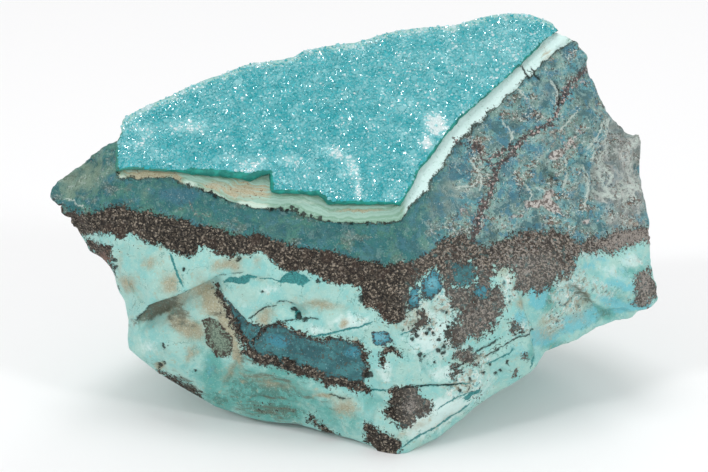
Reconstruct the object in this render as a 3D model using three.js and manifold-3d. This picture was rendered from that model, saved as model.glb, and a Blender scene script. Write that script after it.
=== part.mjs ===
// Druzy quartz on chrysocolla: a broken hand specimen of layered copper ore, 90 mm wide.
// The rock is one solid with a broad sloping top. A thin crust of quartz crystals grew on that slope.
// The shape is given as it is seen from the front: across and down in units of the view, and depth
// away from the eye in millimetres. The side that isn't seen is given in millimetres from the foot,
// the lowest point in front. Units are millimetres, +Z is up, and the front faces -Y.
import * as THREE from "three";
import { mergeVertices } from "three/addons/utils/BufferGeometryUtils.js";
import { ImprovedNoise } from "three/addons/math/ImprovedNoise.js";
import Module from "manifold-3d";

const wasm = await Module();
wasm.setup();

// Driving dimensions
const SPECIMEN_WIDTH = 90;
const WIDTH_IN_VIEW = 610;
const MEAN_DEPTH_GAIN = 1.06;
const MM_PER_UNIT = SPECIMEN_WIDTH / WIDTH_IN_VIEW / MEAN_DEPTH_GAIN;
const VIEW_CENTRE = [354, 236];
const VIEW_DISTANCE = 246;
const VIEW_ELEVATION = THREE.MathUtils.degToRad(20);
const CRUST_THICKNESS = 1.1;
const CRUST_GAP = 0.3;
const CRYSTAL_SPACING = 1.06;
// The foot of the crust's broken edge: how far it stands out in the view, and its drop in millimetres
const CRUST_FOOT_OUT = 3.5;
const CRUST_FOOT_DROP = 1.5;
// The small ledge under the pale seam: how far back in millimetres, and how tall in the view
const LEDGE_DEPTH = 0.5;
const LEDGE_DROP = 3;
// What is cut off the lowest point, so that the stone stands
const FOOT_CUT = 0.5;

// The triangles of the rock are no longer than this in front and on the far side.
const FRONT_EDGE = 3.6;
const BACK_EDGE = 5.4;
// Between these depths the front passes into the far side.
const FAR_DEPTHS = [23, 29];
// Lines along the druse have points this far apart, in units of the view.
const EDGE_STEP = 12;

// The relief of the broken rock: how tall and how wide each kind is. It fades out towards the druse.
const SWELLS = { height: 0.7, size: 11 };
const STEPS = { height: 0.6, size: 6 };
const FACETS = { height: 2.4, size: 14 };
const DRUSE_FADE = 4;

// Crystal tips and the valleys between them: how far below the plane of the druse, and how that varies
const TIPS = { drop: 0.12, varies: 0.25 };
const VALLEYS = { drop: 0.6, varies: 0.14 };
const CARPET = { left: -52, right: 34, low: -9, high: 42, depth: 4 };

// The blocks that cut the stone are larger than it.
const BLOCK_SIZE = 300;

// The foot is the lowest point that shows, and the heights of the far side are measured from it.
const FOOT = [398, 458, 7];

// Three points of the druse, the crystal-covered slope: its front corner, left corner and top.
const DRUSE_POINTS = [
  [399, 204, 0],
  [118, 172, 5.9],
  [500, 18, 15],
];

// The eye looks along `away`, with `across` to the right and `upright` up in the view.
const away = new THREE.Vector3(0, Math.cos(VIEW_ELEVATION), -Math.sin(VIEW_ELEVATION));
const upright = new THREE.Vector3(0, Math.sin(VIEW_ELEVATION), Math.cos(VIEW_ELEVATION));
const across = new THREE.Vector3(1, 0, 0);
const eye = away.clone().multiplyScalar(-VIEW_DISTANCE);

// The direction from the eye through a point of the view, scaled to advance 1 mm in depth.
function sightLine(x, y) {
  const scale = MM_PER_UNIT / VIEW_DISTANCE;
  return away
    .clone()
    .addScaledVector(across, (x - VIEW_CENTRE[0]) * scale)
    .addScaledVector(upright, (VIEW_CENTRE[1] - y) * scale);
}

const seen = ([x, y, depth]) => eye.clone().addScaledVector(sightLine(x, y), VIEW_DISTANCE + depth);

const drusePlane = new THREE.Plane().setFromCoplanarPoints(
  seen(DRUSE_POINTS[0]),
  seen(DRUSE_POINTS[2]),
  seen(DRUSE_POINTS[1]),
);
if (drusePlane.distanceToPoint(eye) < 0) drusePlane.negate();

// A point of the view at a depth below the plane of the druse.
function belowDruse([x, y], drop) {
  const line = sightLine(x, y);
  const reach = (-drop - drusePlane.distanceToPoint(eye)) / drusePlane.normal.dot(line);
  return [x, y, reach - VIEW_DISTANCE];
}

const onDruse = (point) => belowDruse(point, 0);

// The same line with more points on it, no further apart than a step.
function along(points, step) {
  return points.flatMap((from, i) => {
    const to = points[i + 1];
    if (!to) return [from];
    const parts = Math.ceil(Math.hypot(to[0] - from[0], to[1] - from[1]) / step);
    return Array.from({ length: parts }, (_, k) =>
      from.map((value, n) => value + ((to[n] - value) * k) / parts),
    );
  });
}

// A line of points beside another one, on its right-hand side as it runs.
function beside(points, distance) {
  const directions = points
    .slice(1)
    .map(([x, y], i) => new THREE.Vector2(x - points[i][0], y - points[i][1]).normalize());
  return points.map(([x, y], i) => {
    const before = directions[Math.max(i - 1, 0)];
    const after = directions[Math.min(i, directions.length - 1)];
    const run = before.clone().add(after).normalize();
    return [x - run.y * distance, y + run.x * distance];
  });
}

const foot = seen(FOOT);
const farSide = ([x, y, z]) => new THREE.Vector3(x, foot.y + y, foot.z + z);

// Where a point in space appears in the view.
function viewOf(point) {
  const offset = point.clone().sub(eye);
  const scale = VIEW_DISTANCE / offset.dot(away) / MM_PER_UNIT;
  return [VIEW_CENTRE[0] + offset.dot(across) * scale, VIEW_CENTRE[1] - offset.dot(upright) * scale];
}

// The outline, clockwise from the tip of the left wing.
const WING_RIM = [
  [50, 195, 14], [53, 183, 13.8], [66, 170, 13], [78, 163, 12.5], [92, 152, 12], [107, 145, 11.2],
  [118, 140, 10.4],
];
const DRUSE_RIM = [
  [122, 133], [121, 126], [123, 119], [134, 112], [148, 105], [173, 95], [187, 87], [205, 80], [224, 74],
  [240, 67], [253, 63], [278, 60], [293, 57], [304, 50], [327, 46], [354, 43], [380, 35], [400, 30],
  [416, 28], [437, 26], [452, 26], [466, 22], [486, 16], [500, 14], [515, 13], [530, 15], [544, 19],
  [562, 28],
].map(onDruse);
const RIGHT_RIM = [
  [570, 39, 14.8], [576, 42, 15.2], [585, 52, 16], [590, 65, 16.8], [591, 74, 17.2], [597, 84, 17.8],
  [603, 97, 18.2], [608, 110, 18.6], [616, 117, 19.4], [628, 126, 20.6], [634, 128, 21], [641, 130, 21.6],
  [643, 149, 21.8], [645, 171, 21.4], [644, 187, 21], [647, 198, 21], [648, 214, 20.8], [648, 236, 20.6],
  [651, 252, 20.4], [654, 264, 20.4], [659, 277, 20.4], [660, 291, 20.4], [658, 302, 20.8],
  [651, 308, 20.8], [639, 313, 20.8], [633, 320, 20.6], [616, 322, 19.8], [596, 328, 18.8],
  [581, 338, 17.8], [562, 347, 16.6], [545, 352, 15.6],
];
const FOOT_RIM = [
  [539, 361, 14.4], [532, 371, 14], [516, 383, 13.5], [495, 395, 13], [486, 400, 12.7], [462, 419, 11.5],
  [436, 440, 9.5], [415, 450, 8], [405, 454, 7.3], FOOT, [387, 456, 7.4], [368, 446, 8.5], [349, 440, 9.8],
  [331, 434, 11.2], [309, 429, 12.6], [298, 424.5, 13.3], [275, 424, 14.4], [253, 420, 15.3],
  [231, 413, 16], [215, 408, 16.4], [197, 397, 16.8], [173, 382, 17], [155, 371, 17],
];
const LEFT_RIM = [
  [144, 362, 17], [130, 348, 16.8], [127, 339, 16.6], [128, 319, 16.3], [124, 301, 16], [116, 288, 15.6],
  [114, 276, 15.3], [109, 267, 15.5], [100, 258, 16], [88, 251, 16.4], [85, 244, 16.2], [76, 229, 16],
  [68, 219, 15.6], [58, 206, 14.8],
];
const RIM = [...WING_RIM, ...DRUSE_RIM, ...RIGHT_RIM, ...FOOT_RIM, ...LEFT_RIM];

// The front edge of the druse, from the left wing round the front corner to the top right.
const DRUSE_EDGE = along([
  [118, 143], [117, 157], [117, 171], [133, 168], [160, 170], [184, 172], [209, 174], [231, 177],
  [250, 179], [270, 173], [272, 192], [295, 193], [318, 194], [329, 203], [355, 203], [380, 203],
  [399, 204], [404, 198], [412, 183], [419, 170], [428, 161], [435, 153], [444, 138], [462, 116], [486, 96],
  [500, 85], [515, 73], [524, 64], [540, 47], [552, 38],
], EDGE_STEP).map(onDruse);

// The foot of the crust's own broken edge, from which the pale seam slopes forward.
const CRUST_FOOT = beside(DRUSE_EDGE, CRUST_FOOT_OUT)
  .slice(1, -1)
  .map((point) => belowDruse(point, CRUST_FOOT_DROP));

// The lower edge of the pale seam under the druse. The rock below it stands back by a small ledge.
const SEAM_EDGE = along([
  [116, 179, 7.3], [137, 178, 7.1], [160, 178, 6.8], [173, 178, 6.6], [182, 183, 6.2], [209, 192, 5.2],
  [231, 202, 4.4], [253, 208, 3.8], [275, 208, 3.4], [293, 209, 3.1], [307, 216, 2.5], [327, 222, 1.8],
  [348, 223, 1.4], [368, 223, 1], [385, 222, 0.7], [400, 220, 0.5], [414, 203, 1.9], [428, 187, 3.3],
  [437, 172, 4.5], [450, 154, 5.9], [455, 143, 6.7], [473, 125, 8.1], [491, 107, 9.4], [509, 89, 10.8],
  [526, 77, 11.7], [540, 62, 12.8], [555, 51, 13.6],
], EDGE_STEP);
const LEDGE_FOOT = beside(SEAM_EDGE, LEDGE_DROP).map(([x, y], i) => [x, y, SEAM_EDGE[i][2] + LEDGE_DEPTH]);

// Points inside the outline, by place.
const WING = [
  [96, 163, 11.6], [84, 184, 11.2], [112, 192, 8.4], [113, 206, 8.6], [90, 208, 11], [68, 200, 13.2],
  [99, 231, 11.8], [111, 244, 9.8], [114, 260, 10.6], [123, 284, 12],
];
const UPPER_FRONT = [
  [137, 212, 8], [160, 215, 7.4], [186, 221, 6.8], [208, 227, 6.1], [246, 236, 5], [272, 240, 4.5],
  [300, 248, 3.8], [326, 252, 3.1], [352, 257, 2.4], [377, 263, 1.7], [404, 265, 1],
];
const UPPER_LEFT_PLATE = [
  [150, 245, 7.4], [180, 258, 6.6], [135, 280, 9], [150, 288, 8.2], [137, 320, 12], [147, 309, 9.8],
  [158, 302, 8.6], [176, 297, 7.6], [187, 292, 7], [199, 286, 6.6], [219, 274, 5.7], [240, 271, 5.1],
];
const NOTCH = [
  [143, 321, 13.8], [151, 314, 12.8], [162, 308, 11.2], [178, 303, 8.6], [190, 297, 7.6], [204, 290, 6.8],
];
const LOWER_LEFT_LUMP = [
  [137, 338, 14.8], [150, 331, 12.4], [166, 325, 11], [183, 322, 9.4], [150, 354, 13.6], [170, 343, 10.8],
  [186, 358, 11.4], [178, 374, 14], [200, 326, 8.2], [208, 350, 9.7], [212, 374, 11.8], [202, 386, 14],
  [216, 300, 6.6], [228, 320, 7], [235, 345, 8.4], [230, 376, 11.2], [228, 400, 14.4],
];
const CENTRE_FRONT = [
  [260, 262, 4.6], [285, 275, 4], [260, 292, 4.7], [300, 300, 3.9], [340, 310, 3.2], [372, 322, 2.6],
  [330, 280, 3], [365, 290, 2], [409, 292, 1.3], [402, 322, 2], [411, 350, 2.9], [401, 381, 4.1],
  [406, 413, 5.4], [250, 320, 5.8], [285, 328, 5], [318, 338, 4.5], [350, 345, 3.8], [262, 346, 7],
  [300, 358, 6.4], [340, 370, 5.6], [370, 385, 5.2],
];
const LOWER_FRONT = [
  [255, 372, 9.2], [300, 384, 8.6], [340, 398, 7.8], [370, 415, 6.9], [388, 436, 6.6], [310, 410, 10.9],
  [270, 402, 12.1], [240, 396, 12.8],
];
const RIGHT_FACE = [
  [440, 195, 4.4], [470, 170, 7.2], [500, 140, 9.8], [530, 110, 12.1], [555, 80, 13.6], [575, 60, 15.2],
  [500, 200, 7.8], [540, 180, 10.6], [580, 150, 13.8], [590, 110, 15.8], [612, 126, 17.8], [590, 180, 14.2],
  [580, 215, 12.9], [634, 141, 20.2], [627, 165, 19], [622, 205, 18], [440, 240, 3.3], [478, 247, 5.9],
  [520, 232, 8.7], [553, 229, 10.8], [578, 240, 12.3], [619, 229, 17], [560, 110, 13.7], [530, 150, 10.6],
  [470, 215, 5.6],
];
const LOWER_RIGHT_FRONT = [
  [440, 290, 2.7], [480, 290, 4.6], [510, 272, 6.3], [530, 285, 7.4], [536, 304, 8.2], [538, 325, 9.4],
  [505, 320, 6.6], [455, 330, 4.2], [438, 365, 4.8], [470, 360, 6.6], [510, 347, 8.6], [539, 344, 11.4],
  [410, 438, 6.1], [432, 418, 7], [470, 390, 8.6], [505, 367, 10.2], [535, 356, 12.4],
];
const LOWER_RIGHT_SIDE = [
  [556, 272, 9.2], [556, 296, 10.4], [556, 322, 12.8], [550, 342, 14.6], [571, 282, 10.6], [587, 295, 12.8],
  [595, 308, 15.2], [575, 294, 12.8], [585, 302, 14.9], [590, 314, 16.8], [578, 258, 11.6],
  [603, 285, 14.1], [612, 306, 17.8], [632, 292, 17.4], [642, 272, 18.2], [615, 262, 15.3],
  [574, 318, 15.4],
];
const INSIDE = [
  ...DRUSE_EDGE, ...CRUST_FOOT, ...SEAM_EDGE, ...LEDGE_FOOT, ...WING, ...UPPER_FRONT, ...UPPER_LEFT_PLATE,
  ...NOTCH, ...LOWER_LEFT_LUMP, ...CENTRE_FRONT, ...LOWER_FRONT, ...RIGHT_FACE, ...LOWER_RIGHT_FRONT,
  ...LOWER_RIGHT_SIDE,
];

// The far side, in millimetres: across from the middle, back from the foot and up from the foot.
const UNDERSIDE = [
  [6, 4, -0.6], [-10, 21, -0.4], [-20, 31, -1.2], [-20, 39, -0.6], [-4, 44, -1.2], [14, 42, -1],
  [20, 34, -1.2], [14, 20, -0.6], [2, 13, -1.2], [-2, 30, 1.4], [8, 28, 0.9], [-12, 33, 0.2],
];
const FAR_LOWER = [
  [-38, 27, 12], [-29, 31, 4], [-37, 34, 21], [-31, 41, 12], [-18, 46, 6], [-12, 49, 17], [2, 49, 7],
  [9, 51, 18], [24, 43, 7], [28, 45, 16], [30, 34, 5], [37, 36, 14], [38, 29, 12], [42, 34, 24],
  [35, 43, 27],
];
const FAR_UPPER = [
  [-37, 28, 32], [-24, 40, 30], [-9, 47, 27], [-2, 45, 36], [18, 47, 36], [32, 38, 41], [22, 38, 48],
  [4, 35, 46], [-14, 32, 42], [-29, 26, 39], [40, 29, 35],
];
const FAR = [...UNDERSIDE, ...FAR_LOWER, ...FAR_UPPER];

// Delaunay triangulation of points in the view, by adding them one at a time.
function triangulate(points) {
  const outer = 1e5;
  const all = [...points, [-outer, -outer], [outer, -outer], [0, outer]];
  const inCircle = ([a, b, c], p) => {
    const rows = [a, b, c].map((i) => [all[i][0] - p[0], all[i][1] - p[1]]);
    const [[ax, ay], [bx, by], [cx, cy]] = rows;
    const [as, bs, cs] = rows.map(([x, y]) => x * x + y * y);
    return as * (bx * cy - cx * by) - bs * (ax * cy - cx * ay) + cs * (ax * by - bx * ay) > 0;
  };
  let triangles = [[points.length, points.length + 1, points.length + 2]];
  points.forEach((p, i) => {
    const hit = triangles.filter((t) => inCircle(t, p));
    const border = new Map();
    for (const [a, b, c] of hit)
      for (const [from, to] of [[a, b], [b, c], [c, a]])
        if (!border.delete(`${to},${from}`)) border.set(`${from},${to}`, [from, to, i]);
    triangles = [...triangles.filter((t) => !hit.includes(t)), ...border.values()];
  });
  return triangles.filter((t) => t.every((i) => i < points.length));
}

function insideOutline([x, y], outline) {
  let inside = false;
  outline.forEach(([ax, ay], i) => {
    const [bx, by] = outline[(i + 1) % outline.length];
    if (ay > y !== by > y && x < ax + ((y - ay) / (by - ay)) * (bx - ax)) inside = !inside;
  });
  return inside;
}

// One side of the stone: the triangles between the outline and the points inside it.
function side(outline, inner) {
  const flat = [...outline, ...inner];
  const triangles = triangulate(flat).filter((t) => {
    const middle = [0, 1].map((k) => (flat[t[0]][k] + flat[t[1]][k] + flat[t[2]][k]) / 3);
    return insideOutline(middle, outline);
  });
  const edges = new Set(triangles.flatMap(([a, b, c]) => [`${a},${b}`, `${b},${c}`, `${c},${a}`]));
  outline.forEach((_, i) => {
    const next = (i + 1) % outline.length;
    if (!edges.has(`${i},${next}`) && !edges.has(`${next},${i}`))
      throw new Error(`the outline is crossed between ${flat[i]} and ${flat[next]}`);
  });
  return triangles;
}

// The whole stone as corner points and triangles that face out.
function roughStone() {
  const rim = RIM.map(([x, y]) => [x, y]);
  const far = FAR.map(farSide);
  const frontTriangles = side(rim, INSIDE.map(([x, y]) => [x, y]));
  const farTriangles = side(rim, far.map(viewOf));
  const points = [...RIM.map(seen), ...INSIDE.map(seen), ...far];
  const shift = (i) => (i < RIM.length ? i : i + INSIDE.length);
  return {
    points,
    triangles: [...frontTriangles.map(([a, b, c]) => [a, c, b]), ...farTriangles.map((t) => t.map(shift))],
  };
}

// Splits every edge that is too long for its place at its middle, until none is left.
function refine({ points, triangles }, longest) {
  for (;;) {
    const middles = new Map();
    const middle = (a, b) => {
      const key = a < b ? `${a},${b}` : `${b},${a}`;
      if (!middles.has(key)) {
        const half = points[a].clone().add(points[b]).multiplyScalar(0.5);
        const split = points[a].distanceTo(points[b]) > longest(half);
        middles.set(key, split ? points.push(half) - 1 : -1);
      }
      return middles.get(key);
    };
    const before = triangles.length;
    triangles = triangles.flatMap((t) => {
      const m = t.map((a, i) => middle(a, t[(i + 1) % 3]));
      const cut = m.filter((i) => i >= 0).length;
      if (cut === 0) return [t];
      if (cut === 3) {
        const [a, b, c] = t;
        return [[a, m[0], m[2]], [m[0], b, m[1]], [m[2], m[1], c], [m[0], m[1], m[2]]];
      }
      const turn = cut === 1 ? m.findIndex((i) => i >= 0) : (m.findIndex((i) => i < 0) + 1) % 3;
      const [a, b, c] = [0, 1, 2].map((i) => t[(i + turn) % 3]);
      const [ab, bc] = [m[turn], m[(turn + 1) % 3]];
      if (cut === 1) return [[a, ab, c], [ab, b, c]];
      return [[ab, b, bc], [a, ab, bc], [a, bc, c]];
    });
    if (triangles.length === before) return { points, triangles };
  }
}

const noise = new ImprovedNoise();
const ripple = (p, size, seed) => noise.noise(p.x / size + seed, p.y / size + 2 * seed, p.z / size - seed);

// Broken rock: broad swells, fracture facets and conchoidal steps. In front they move each corner
// in depth only, so that the outline and the edges keep their places in the view.
function weather({ points, triangles }) {
  const normals = points.map(() => new THREE.Vector3());
  const face = new THREE.Triangle();
  const normal = new THREE.Vector3();
  for (const t of triangles) {
    face.setFromPointsAndIndices(points, ...t);
    face.getNormal(normal).multiplyScalar(face.getArea());
    t.forEach((i) => normals[i].add(normal));
  }
  return {
    triangles,
    points: points.map((p, i) => {
      const fade = Math.min(1, Math.abs(drusePlane.distanceToPoint(p)) / DRUSE_FADE);
      const sight = p.clone().sub(eye).normalize();
      const outward = normals[i].normalize();
      const behind = THREE.MathUtils.smoothstep(p.dot(away), ...FAR_DEPTHS);
      const swell = SWELLS.height * ripple(p, SWELLS.size, 3.1);
      const steps = STEPS.height * (0.5 - Math.abs(ripple(p, STEPS.size, 7.7)) * 2);
      const facets = FACETS.height * (0.4 - Math.abs(ripple(p, FACETS.size, 21.3)) * 2);
      return p
        .clone()
        .addScaledVector(sight, (swell + steps) * fade * (1 - behind) * outward.dot(sight))
        .addScaledVector(outward, (swell + steps + facets) * fade * behind);
    }),
  };
}

function solidFrom({ points, triangles }) {
  return new wasm.Manifold(
    new wasm.Mesh({
      numProp: 3,
      vertProperties: Float32Array.from(points.flatMap((p) => p.toArray())),
      triVerts: Uint32Array.from(triangles.flat()),
    }),
  );
}

function solidOf(geometry) {
  const bare = geometry.clone();
  bare.deleteAttribute("normal");
  bare.deleteAttribute("uv");
  const merged = mergeVertices(bare, 1e-4);
  return new wasm.Manifold(
    new wasm.Mesh({
      numProp: 3,
      vertProperties: merged.attributes.position.array,
      triVerts: Uint32Array.from(merged.index.array),
    }),
  );
}

// A frame on the druse: its Z axis is the druse's normal, and its X axis runs to the right.
function druseFrame() {
  const origin = seen(DRUSE_POINTS[0]);
  const z = drusePlane.normal;
  const x = across.clone().projectOnPlane(z).normalize();
  const y = z.clone().cross(x);
  return new THREE.Matrix4().makeBasis(x, y, z).setPosition(origin);
}

// A large block whose lower face lies at a height above the druse, or whose upper face does.
function blockAt(height, above) {
  const block = new THREE.BoxGeometry(BLOCK_SIZE, BLOCK_SIZE, BLOCK_SIZE);
  block.translate(0, 0, height + (above ? BLOCK_SIZE / 2 : -BLOCK_SIZE / 2));
  block.applyMatrix4(druseFrame());
  return solidOf(block);
}

// A carpet of six-sided quartz points: a triangular grid on which every third point is a tip
// and the rest lie in the valleys between the crystals.
function crystalCarpet() {
  const { left, right, low, high, depth } = CARPET;
  const rowStep = (CRYSTAL_SPACING * Math.sqrt(3)) / 2;
  const columns = Math.ceil((right - left) / CRYSTAL_SPACING);
  const rows = Math.ceil((high - low) / rowStep);
  const points = [];
  for (let row = 0; row <= rows; row++)
    for (let column = 0; column <= columns; column++) {
      const x = left + (column + 0.5 * (row % 2)) * CRYSTAL_SPACING;
      const p = new THREE.Vector3(x, low + row * rowStep, 0);
      const axial = column - Math.floor(row / 2);
      const isTip = (((axial - row) % 3) + 3) % 3 === 0;
      const wobble = CRYSTAL_SPACING * (isTip ? 0.55 : 0.4);
      const size = ripple(p, 0.9, 5.3) + 0.5 * ripple(p, 7, 1.7);
      if (isTip) p.z = -TIPS.drop + TIPS.varies * size;
      else p.z = -VALLEYS.drop + VALLEYS.varies * ripple(p, 0.7, 9.1);
      p.z = Math.min(p.z, -0.02);
      p.x += wobble * ripple(p, 0.8, 13.9);
      p.y += wobble * ripple(p, 0.8, 17.3);
      points.push(p);
    }
  const at = (row, column) => row * (columns + 1) + column;
  const triangles = [];
  for (let row = 0; row < rows; row++)
    for (let column = 0; column < columns; column++) {
      const [a, b] = [at(row, column), at(row, column + 1)];
      const [c, d] = [at(row + 1, column), at(row + 1, column + 1)];
      if (row % 2) triangles.push([a, b, d], [a, d, c]);
      else triangles.push([a, b, c], [b, d, c]);
    }
  const corners = [[0, 0], [0, columns], [rows, columns], [rows, 0]].map(([row, column]) => {
    const p = points[at(row, column)].clone().setZ(-depth);
    return points.push(p) - 1;
  });
  const walk = (count, where) => Array.from({ length: count + 1 }, (_, i) => where(i));
  const borders = [
    walk(columns, (i) => at(0, i)),
    walk(rows, (i) => at(i, columns)),
    walk(columns, (i) => at(rows, columns - i)),
    walk(rows, (i) => at(rows - i, 0)),
  ];
  borders.forEach((border, k) => {
    const [here, next] = [corners[k], corners[(k + 1) % 4]];
    for (let i = 0; i + 1 < border.length; i++) triangles.push([border[i + 1], border[i], here]);
    triangles.push([border.at(-1), here, next]);
  });
  triangles.push([corners[0], corners[2], corners[1]], [corners[0], corners[3], corners[2]]);
  points.forEach((p) => p.applyMatrix4(druseFrame()));
  return solidFrom({ points, triangles });
}

// The largest body of a solid, without the crumbs that a cut leaves.
const largest = (solid) => solid.decompose().sort((a, b) => b.volume() - a.volume())[0];

function meshOf(solid, name, colour, roughness) {
  const { vertProperties, triVerts } = solid.getMesh();
  const geometry = new THREE.BufferGeometry();
  geometry.setAttribute("position", new THREE.BufferAttribute(Float32Array.from(vertProperties), 3));
  geometry.setIndex(Array.from(triVerts));
  const faceted = geometry.toNonIndexed();
  faceted.computeVertexNormals();
  const material = new THREE.MeshStandardMaterial({ color: colour, roughness, metalness: 0 });
  const mesh = new THREE.Mesh(faceted, material);
  mesh.name = name;
  return mesh;
}

function floorBlock() {
  const block = new THREE.BoxGeometry(BLOCK_SIZE, BLOCK_SIZE, BLOCK_SIZE);
  block.translate(0, 0, foot.z + FOOT_CUT - BLOCK_SIZE / 2);
  return solidOf(block);
}

const longest = (p) => (p.dot(away) > FAR_DEPTHS[0] ? BACK_EDGE : FRONT_EDGE);
const stone = solidFrom(weather(refine(roughStone(), longest))).subtract(floorBlock());
const rock = largest(stone.subtract(blockAt(-CRUST_THICKNESS - CRUST_GAP, true)));
const crust = largest(stone.intersect(crystalCarpet()).subtract(blockAt(-CRUST_THICKNESS, false)));

const specimen = new THREE.Group();
specimen.add(meshOf(rock, "chrysocolla_rock", 0x7fb9b2, 0.75));
specimen.add(meshOf(crust, "druzy_quartz_crust", 0x3fa3a8, 0.25));

// The origin is the middle of the bounding box, on the ground.
const bounds = new THREE.Box3().setFromObject(specimen);
const middle = bounds.getCenter(new THREE.Vector3());
specimen.position.set(-middle.x, -middle.y, -bounds.min.z);

export default specimen;
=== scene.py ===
import math
import random

import bpy
import numpy as np
from mathutils import Euler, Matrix, Vector, geometry, noise


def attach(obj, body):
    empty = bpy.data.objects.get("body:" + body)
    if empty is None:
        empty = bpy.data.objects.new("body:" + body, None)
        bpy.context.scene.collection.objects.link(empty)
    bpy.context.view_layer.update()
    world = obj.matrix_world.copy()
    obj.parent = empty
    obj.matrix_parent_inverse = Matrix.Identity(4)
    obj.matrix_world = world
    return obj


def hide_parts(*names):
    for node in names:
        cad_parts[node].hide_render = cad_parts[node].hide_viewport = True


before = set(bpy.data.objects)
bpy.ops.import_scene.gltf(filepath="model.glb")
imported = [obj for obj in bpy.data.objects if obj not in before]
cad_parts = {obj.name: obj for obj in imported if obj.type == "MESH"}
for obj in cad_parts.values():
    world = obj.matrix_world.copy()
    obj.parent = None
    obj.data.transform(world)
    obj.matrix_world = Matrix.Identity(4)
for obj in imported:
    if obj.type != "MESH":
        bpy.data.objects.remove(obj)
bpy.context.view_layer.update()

METRES = 0.001

# The view
SPECIMEN_WIDTH = 90
WIDTH_IN_VIEW = 610
MEAN_DEPTH_GAIN = 1.06
UNIT = SPECIMEN_WIDTH / WIDTH_IN_VIEW / MEAN_DEPTH_GAIN
VIEW_SIZE = (708, 472)
VIEW_CENTRE = (354, 236)
VIEW_DISTANCE = 246
VIEW_ELEVATION = math.radians(20)
VIEW_AIM = np.array([-0.706, -21.052, 31.757])
SENSOR_WIDTH = 36

AWAY = np.array([0, math.cos(VIEW_ELEVATION), -math.sin(VIEW_ELEVATION)])
UPRIGHT = np.array([0, math.sin(VIEW_ELEVATION), math.cos(VIEW_ELEVATION)])
ACROSS = np.array([1, 0, 0])
EYE = VIEW_AIM - VIEW_DISTANCE * AWAY

# Three points of the druse, the slope that the crystals cover: across, down and depth in the view.
DRUSE_POINTS = [(399, 204, 0), (118, 172, 5.9), (500, 18, 15)]
# Three points of the brown band that runs through the whole stone.
BAND_POINTS = [(100, 222, 11), (401, 278, 1), (640, 238, 18)]
BAND_THICKNESS = 4.6
SEAM_THICKNESS = 2.4

# How far the crust's foot and its crystals' level lie below the plane of the druse
CRUST_BED = 1.45
CRUST_LEVEL = 0.5
# The triangles of the crust, how uneven they are, and where its broken edge is divided on the way down
CRUST_STEP = 0.42
CRUST_UNEVEN = 0.1
EDGE_UNEVEN = 0.06
EDGE_LEVELS = (0.22, 0.45, 0.7)
# The foot stands out only where the crust's edge lies this near to its front, in units of the view.
FRONT_NEARNESS = 2

# The crystals: how far apart they stand, how unevenly, how wide they are and how deep they reach
CRYSTAL_SPACING = 0.31
CRYSTAL_UNEVEN = 0.11
CRYSTAL_RADIUS = 0.18
CRYSTAL_ROOT = 0.3
BIG_CRYSTAL_SHARE = 0.06
BIG_CRYSTAL_GAIN = 1.7

# The teal edge of the crust shows bare in front. At places along it: how wide the bare strip is,
# and how far its foot stands out, in units of the view.
EDGE_PLACES = [
    (122, 133, 0.5, 1), (117, 160, 1, 1.5), (117, 171, 2, 1.2), (160, 170, 2, 1.2), (180, 172, 2, 1.5),
    (190, 172, 5, 2), (240, 178, 6.5, 2), (262, 176, 6, 2), (270, 173, 3, 1.5), (272, 190, 3, 1.5),
    (318, 194, 3.5, 1.5), (329, 203, 3, 1.5), (399, 204, 1.6, 1.5), (412, 183, 0.6, 1),
    (432, 153, 1.6, 1.2), (459, 118, 1, 1), (496, 86, 0.6, 1), (538, 46, 1, 1), (557, 30, 0.2, 0.2),
]

# How far the outlines on the rock wander from their points, in units of the view
WOBBLE = 2.2
LINE_WOBBLE = 0.7

# Where each row of random draws starts. The first fixes which way the fracture scoops lean.
CHIP_SEED = 7
EDGE_SEED = 5
SHEET_SEED = 7
PLACE_SEED = 3
CRYSTAL_SEED = 11

# How long the edges of the rock's mesh may be, by place
FRONT_STEP = 0.46
LINE_STEP = 0.25
BACK_STEP = 1.7
COVERED_STEP = 3
# Brown strokes that are narrower than this need the short edges, which start this far outside them.
NARROW = 7
LINE_MARGIN = 0.12
# Points below this height stand on the ground.
GROUND = 0.02

# Distances to an outline are told apart up to this far, in units of the view.
REACH = 30

# The depth in mm of a place that lies outside every outline of its kind
OUTSIDE = -3.0

# Outlines on the front, as they are seen in the view
DRUSE_FRONT = [
    (122, 133), (118, 143), (117, 157), (117, 171), (133, 168), (160, 170), (184, 172), (209, 174),
    (231, 177), (250, 179), (270, 173), (272, 192), (295, 193), (318, 194), (329, 203), (355, 203),
    (380, 203), (399, 204), (404, 198), (412, 183), (418, 170), (426, 161), (432, 153), (443, 138),
    (459, 118), (484, 97), (496, 86), (508, 75), (521, 63), (538, 46), (549, 35), (557, 30),
]
DRUSE_BACK = [
    (552, 23), (544, 19), (530, 15), (515, 13), (500, 14), (486, 16), (466, 22), (452, 26), (437, 26),
    (416, 28), (400, 30), (380, 35), (354, 43), (327, 46), (304, 50), (293, 57), (278, 60), (253, 63),
    (240, 67), (224, 74), (205, 80), (187, 87), (173, 95), (148, 105), (134, 112), (123, 119), (121, 126),
]
SEAM_EDGE = [
    (112, 179), (137, 178), (160, 178), (173, 178), (182, 183), (209, 192), (231, 202), (253, 208),
    (275, 208), (293, 209), (307, 216), (327, 222), (348, 223), (368, 223), (385, 222), (400, 220),
    (414, 203), (428, 187), (437, 172), (450, 154), (455, 143), (473, 126), (491, 109), (510, 93),
    (526, 78), (540, 64), (555, 53), (571, 41),
]
SEAM = SEAM_EDGE[1:] + [(600, -40), (90, -40), (122, 120), (119, 160), (118, 178)]
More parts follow.
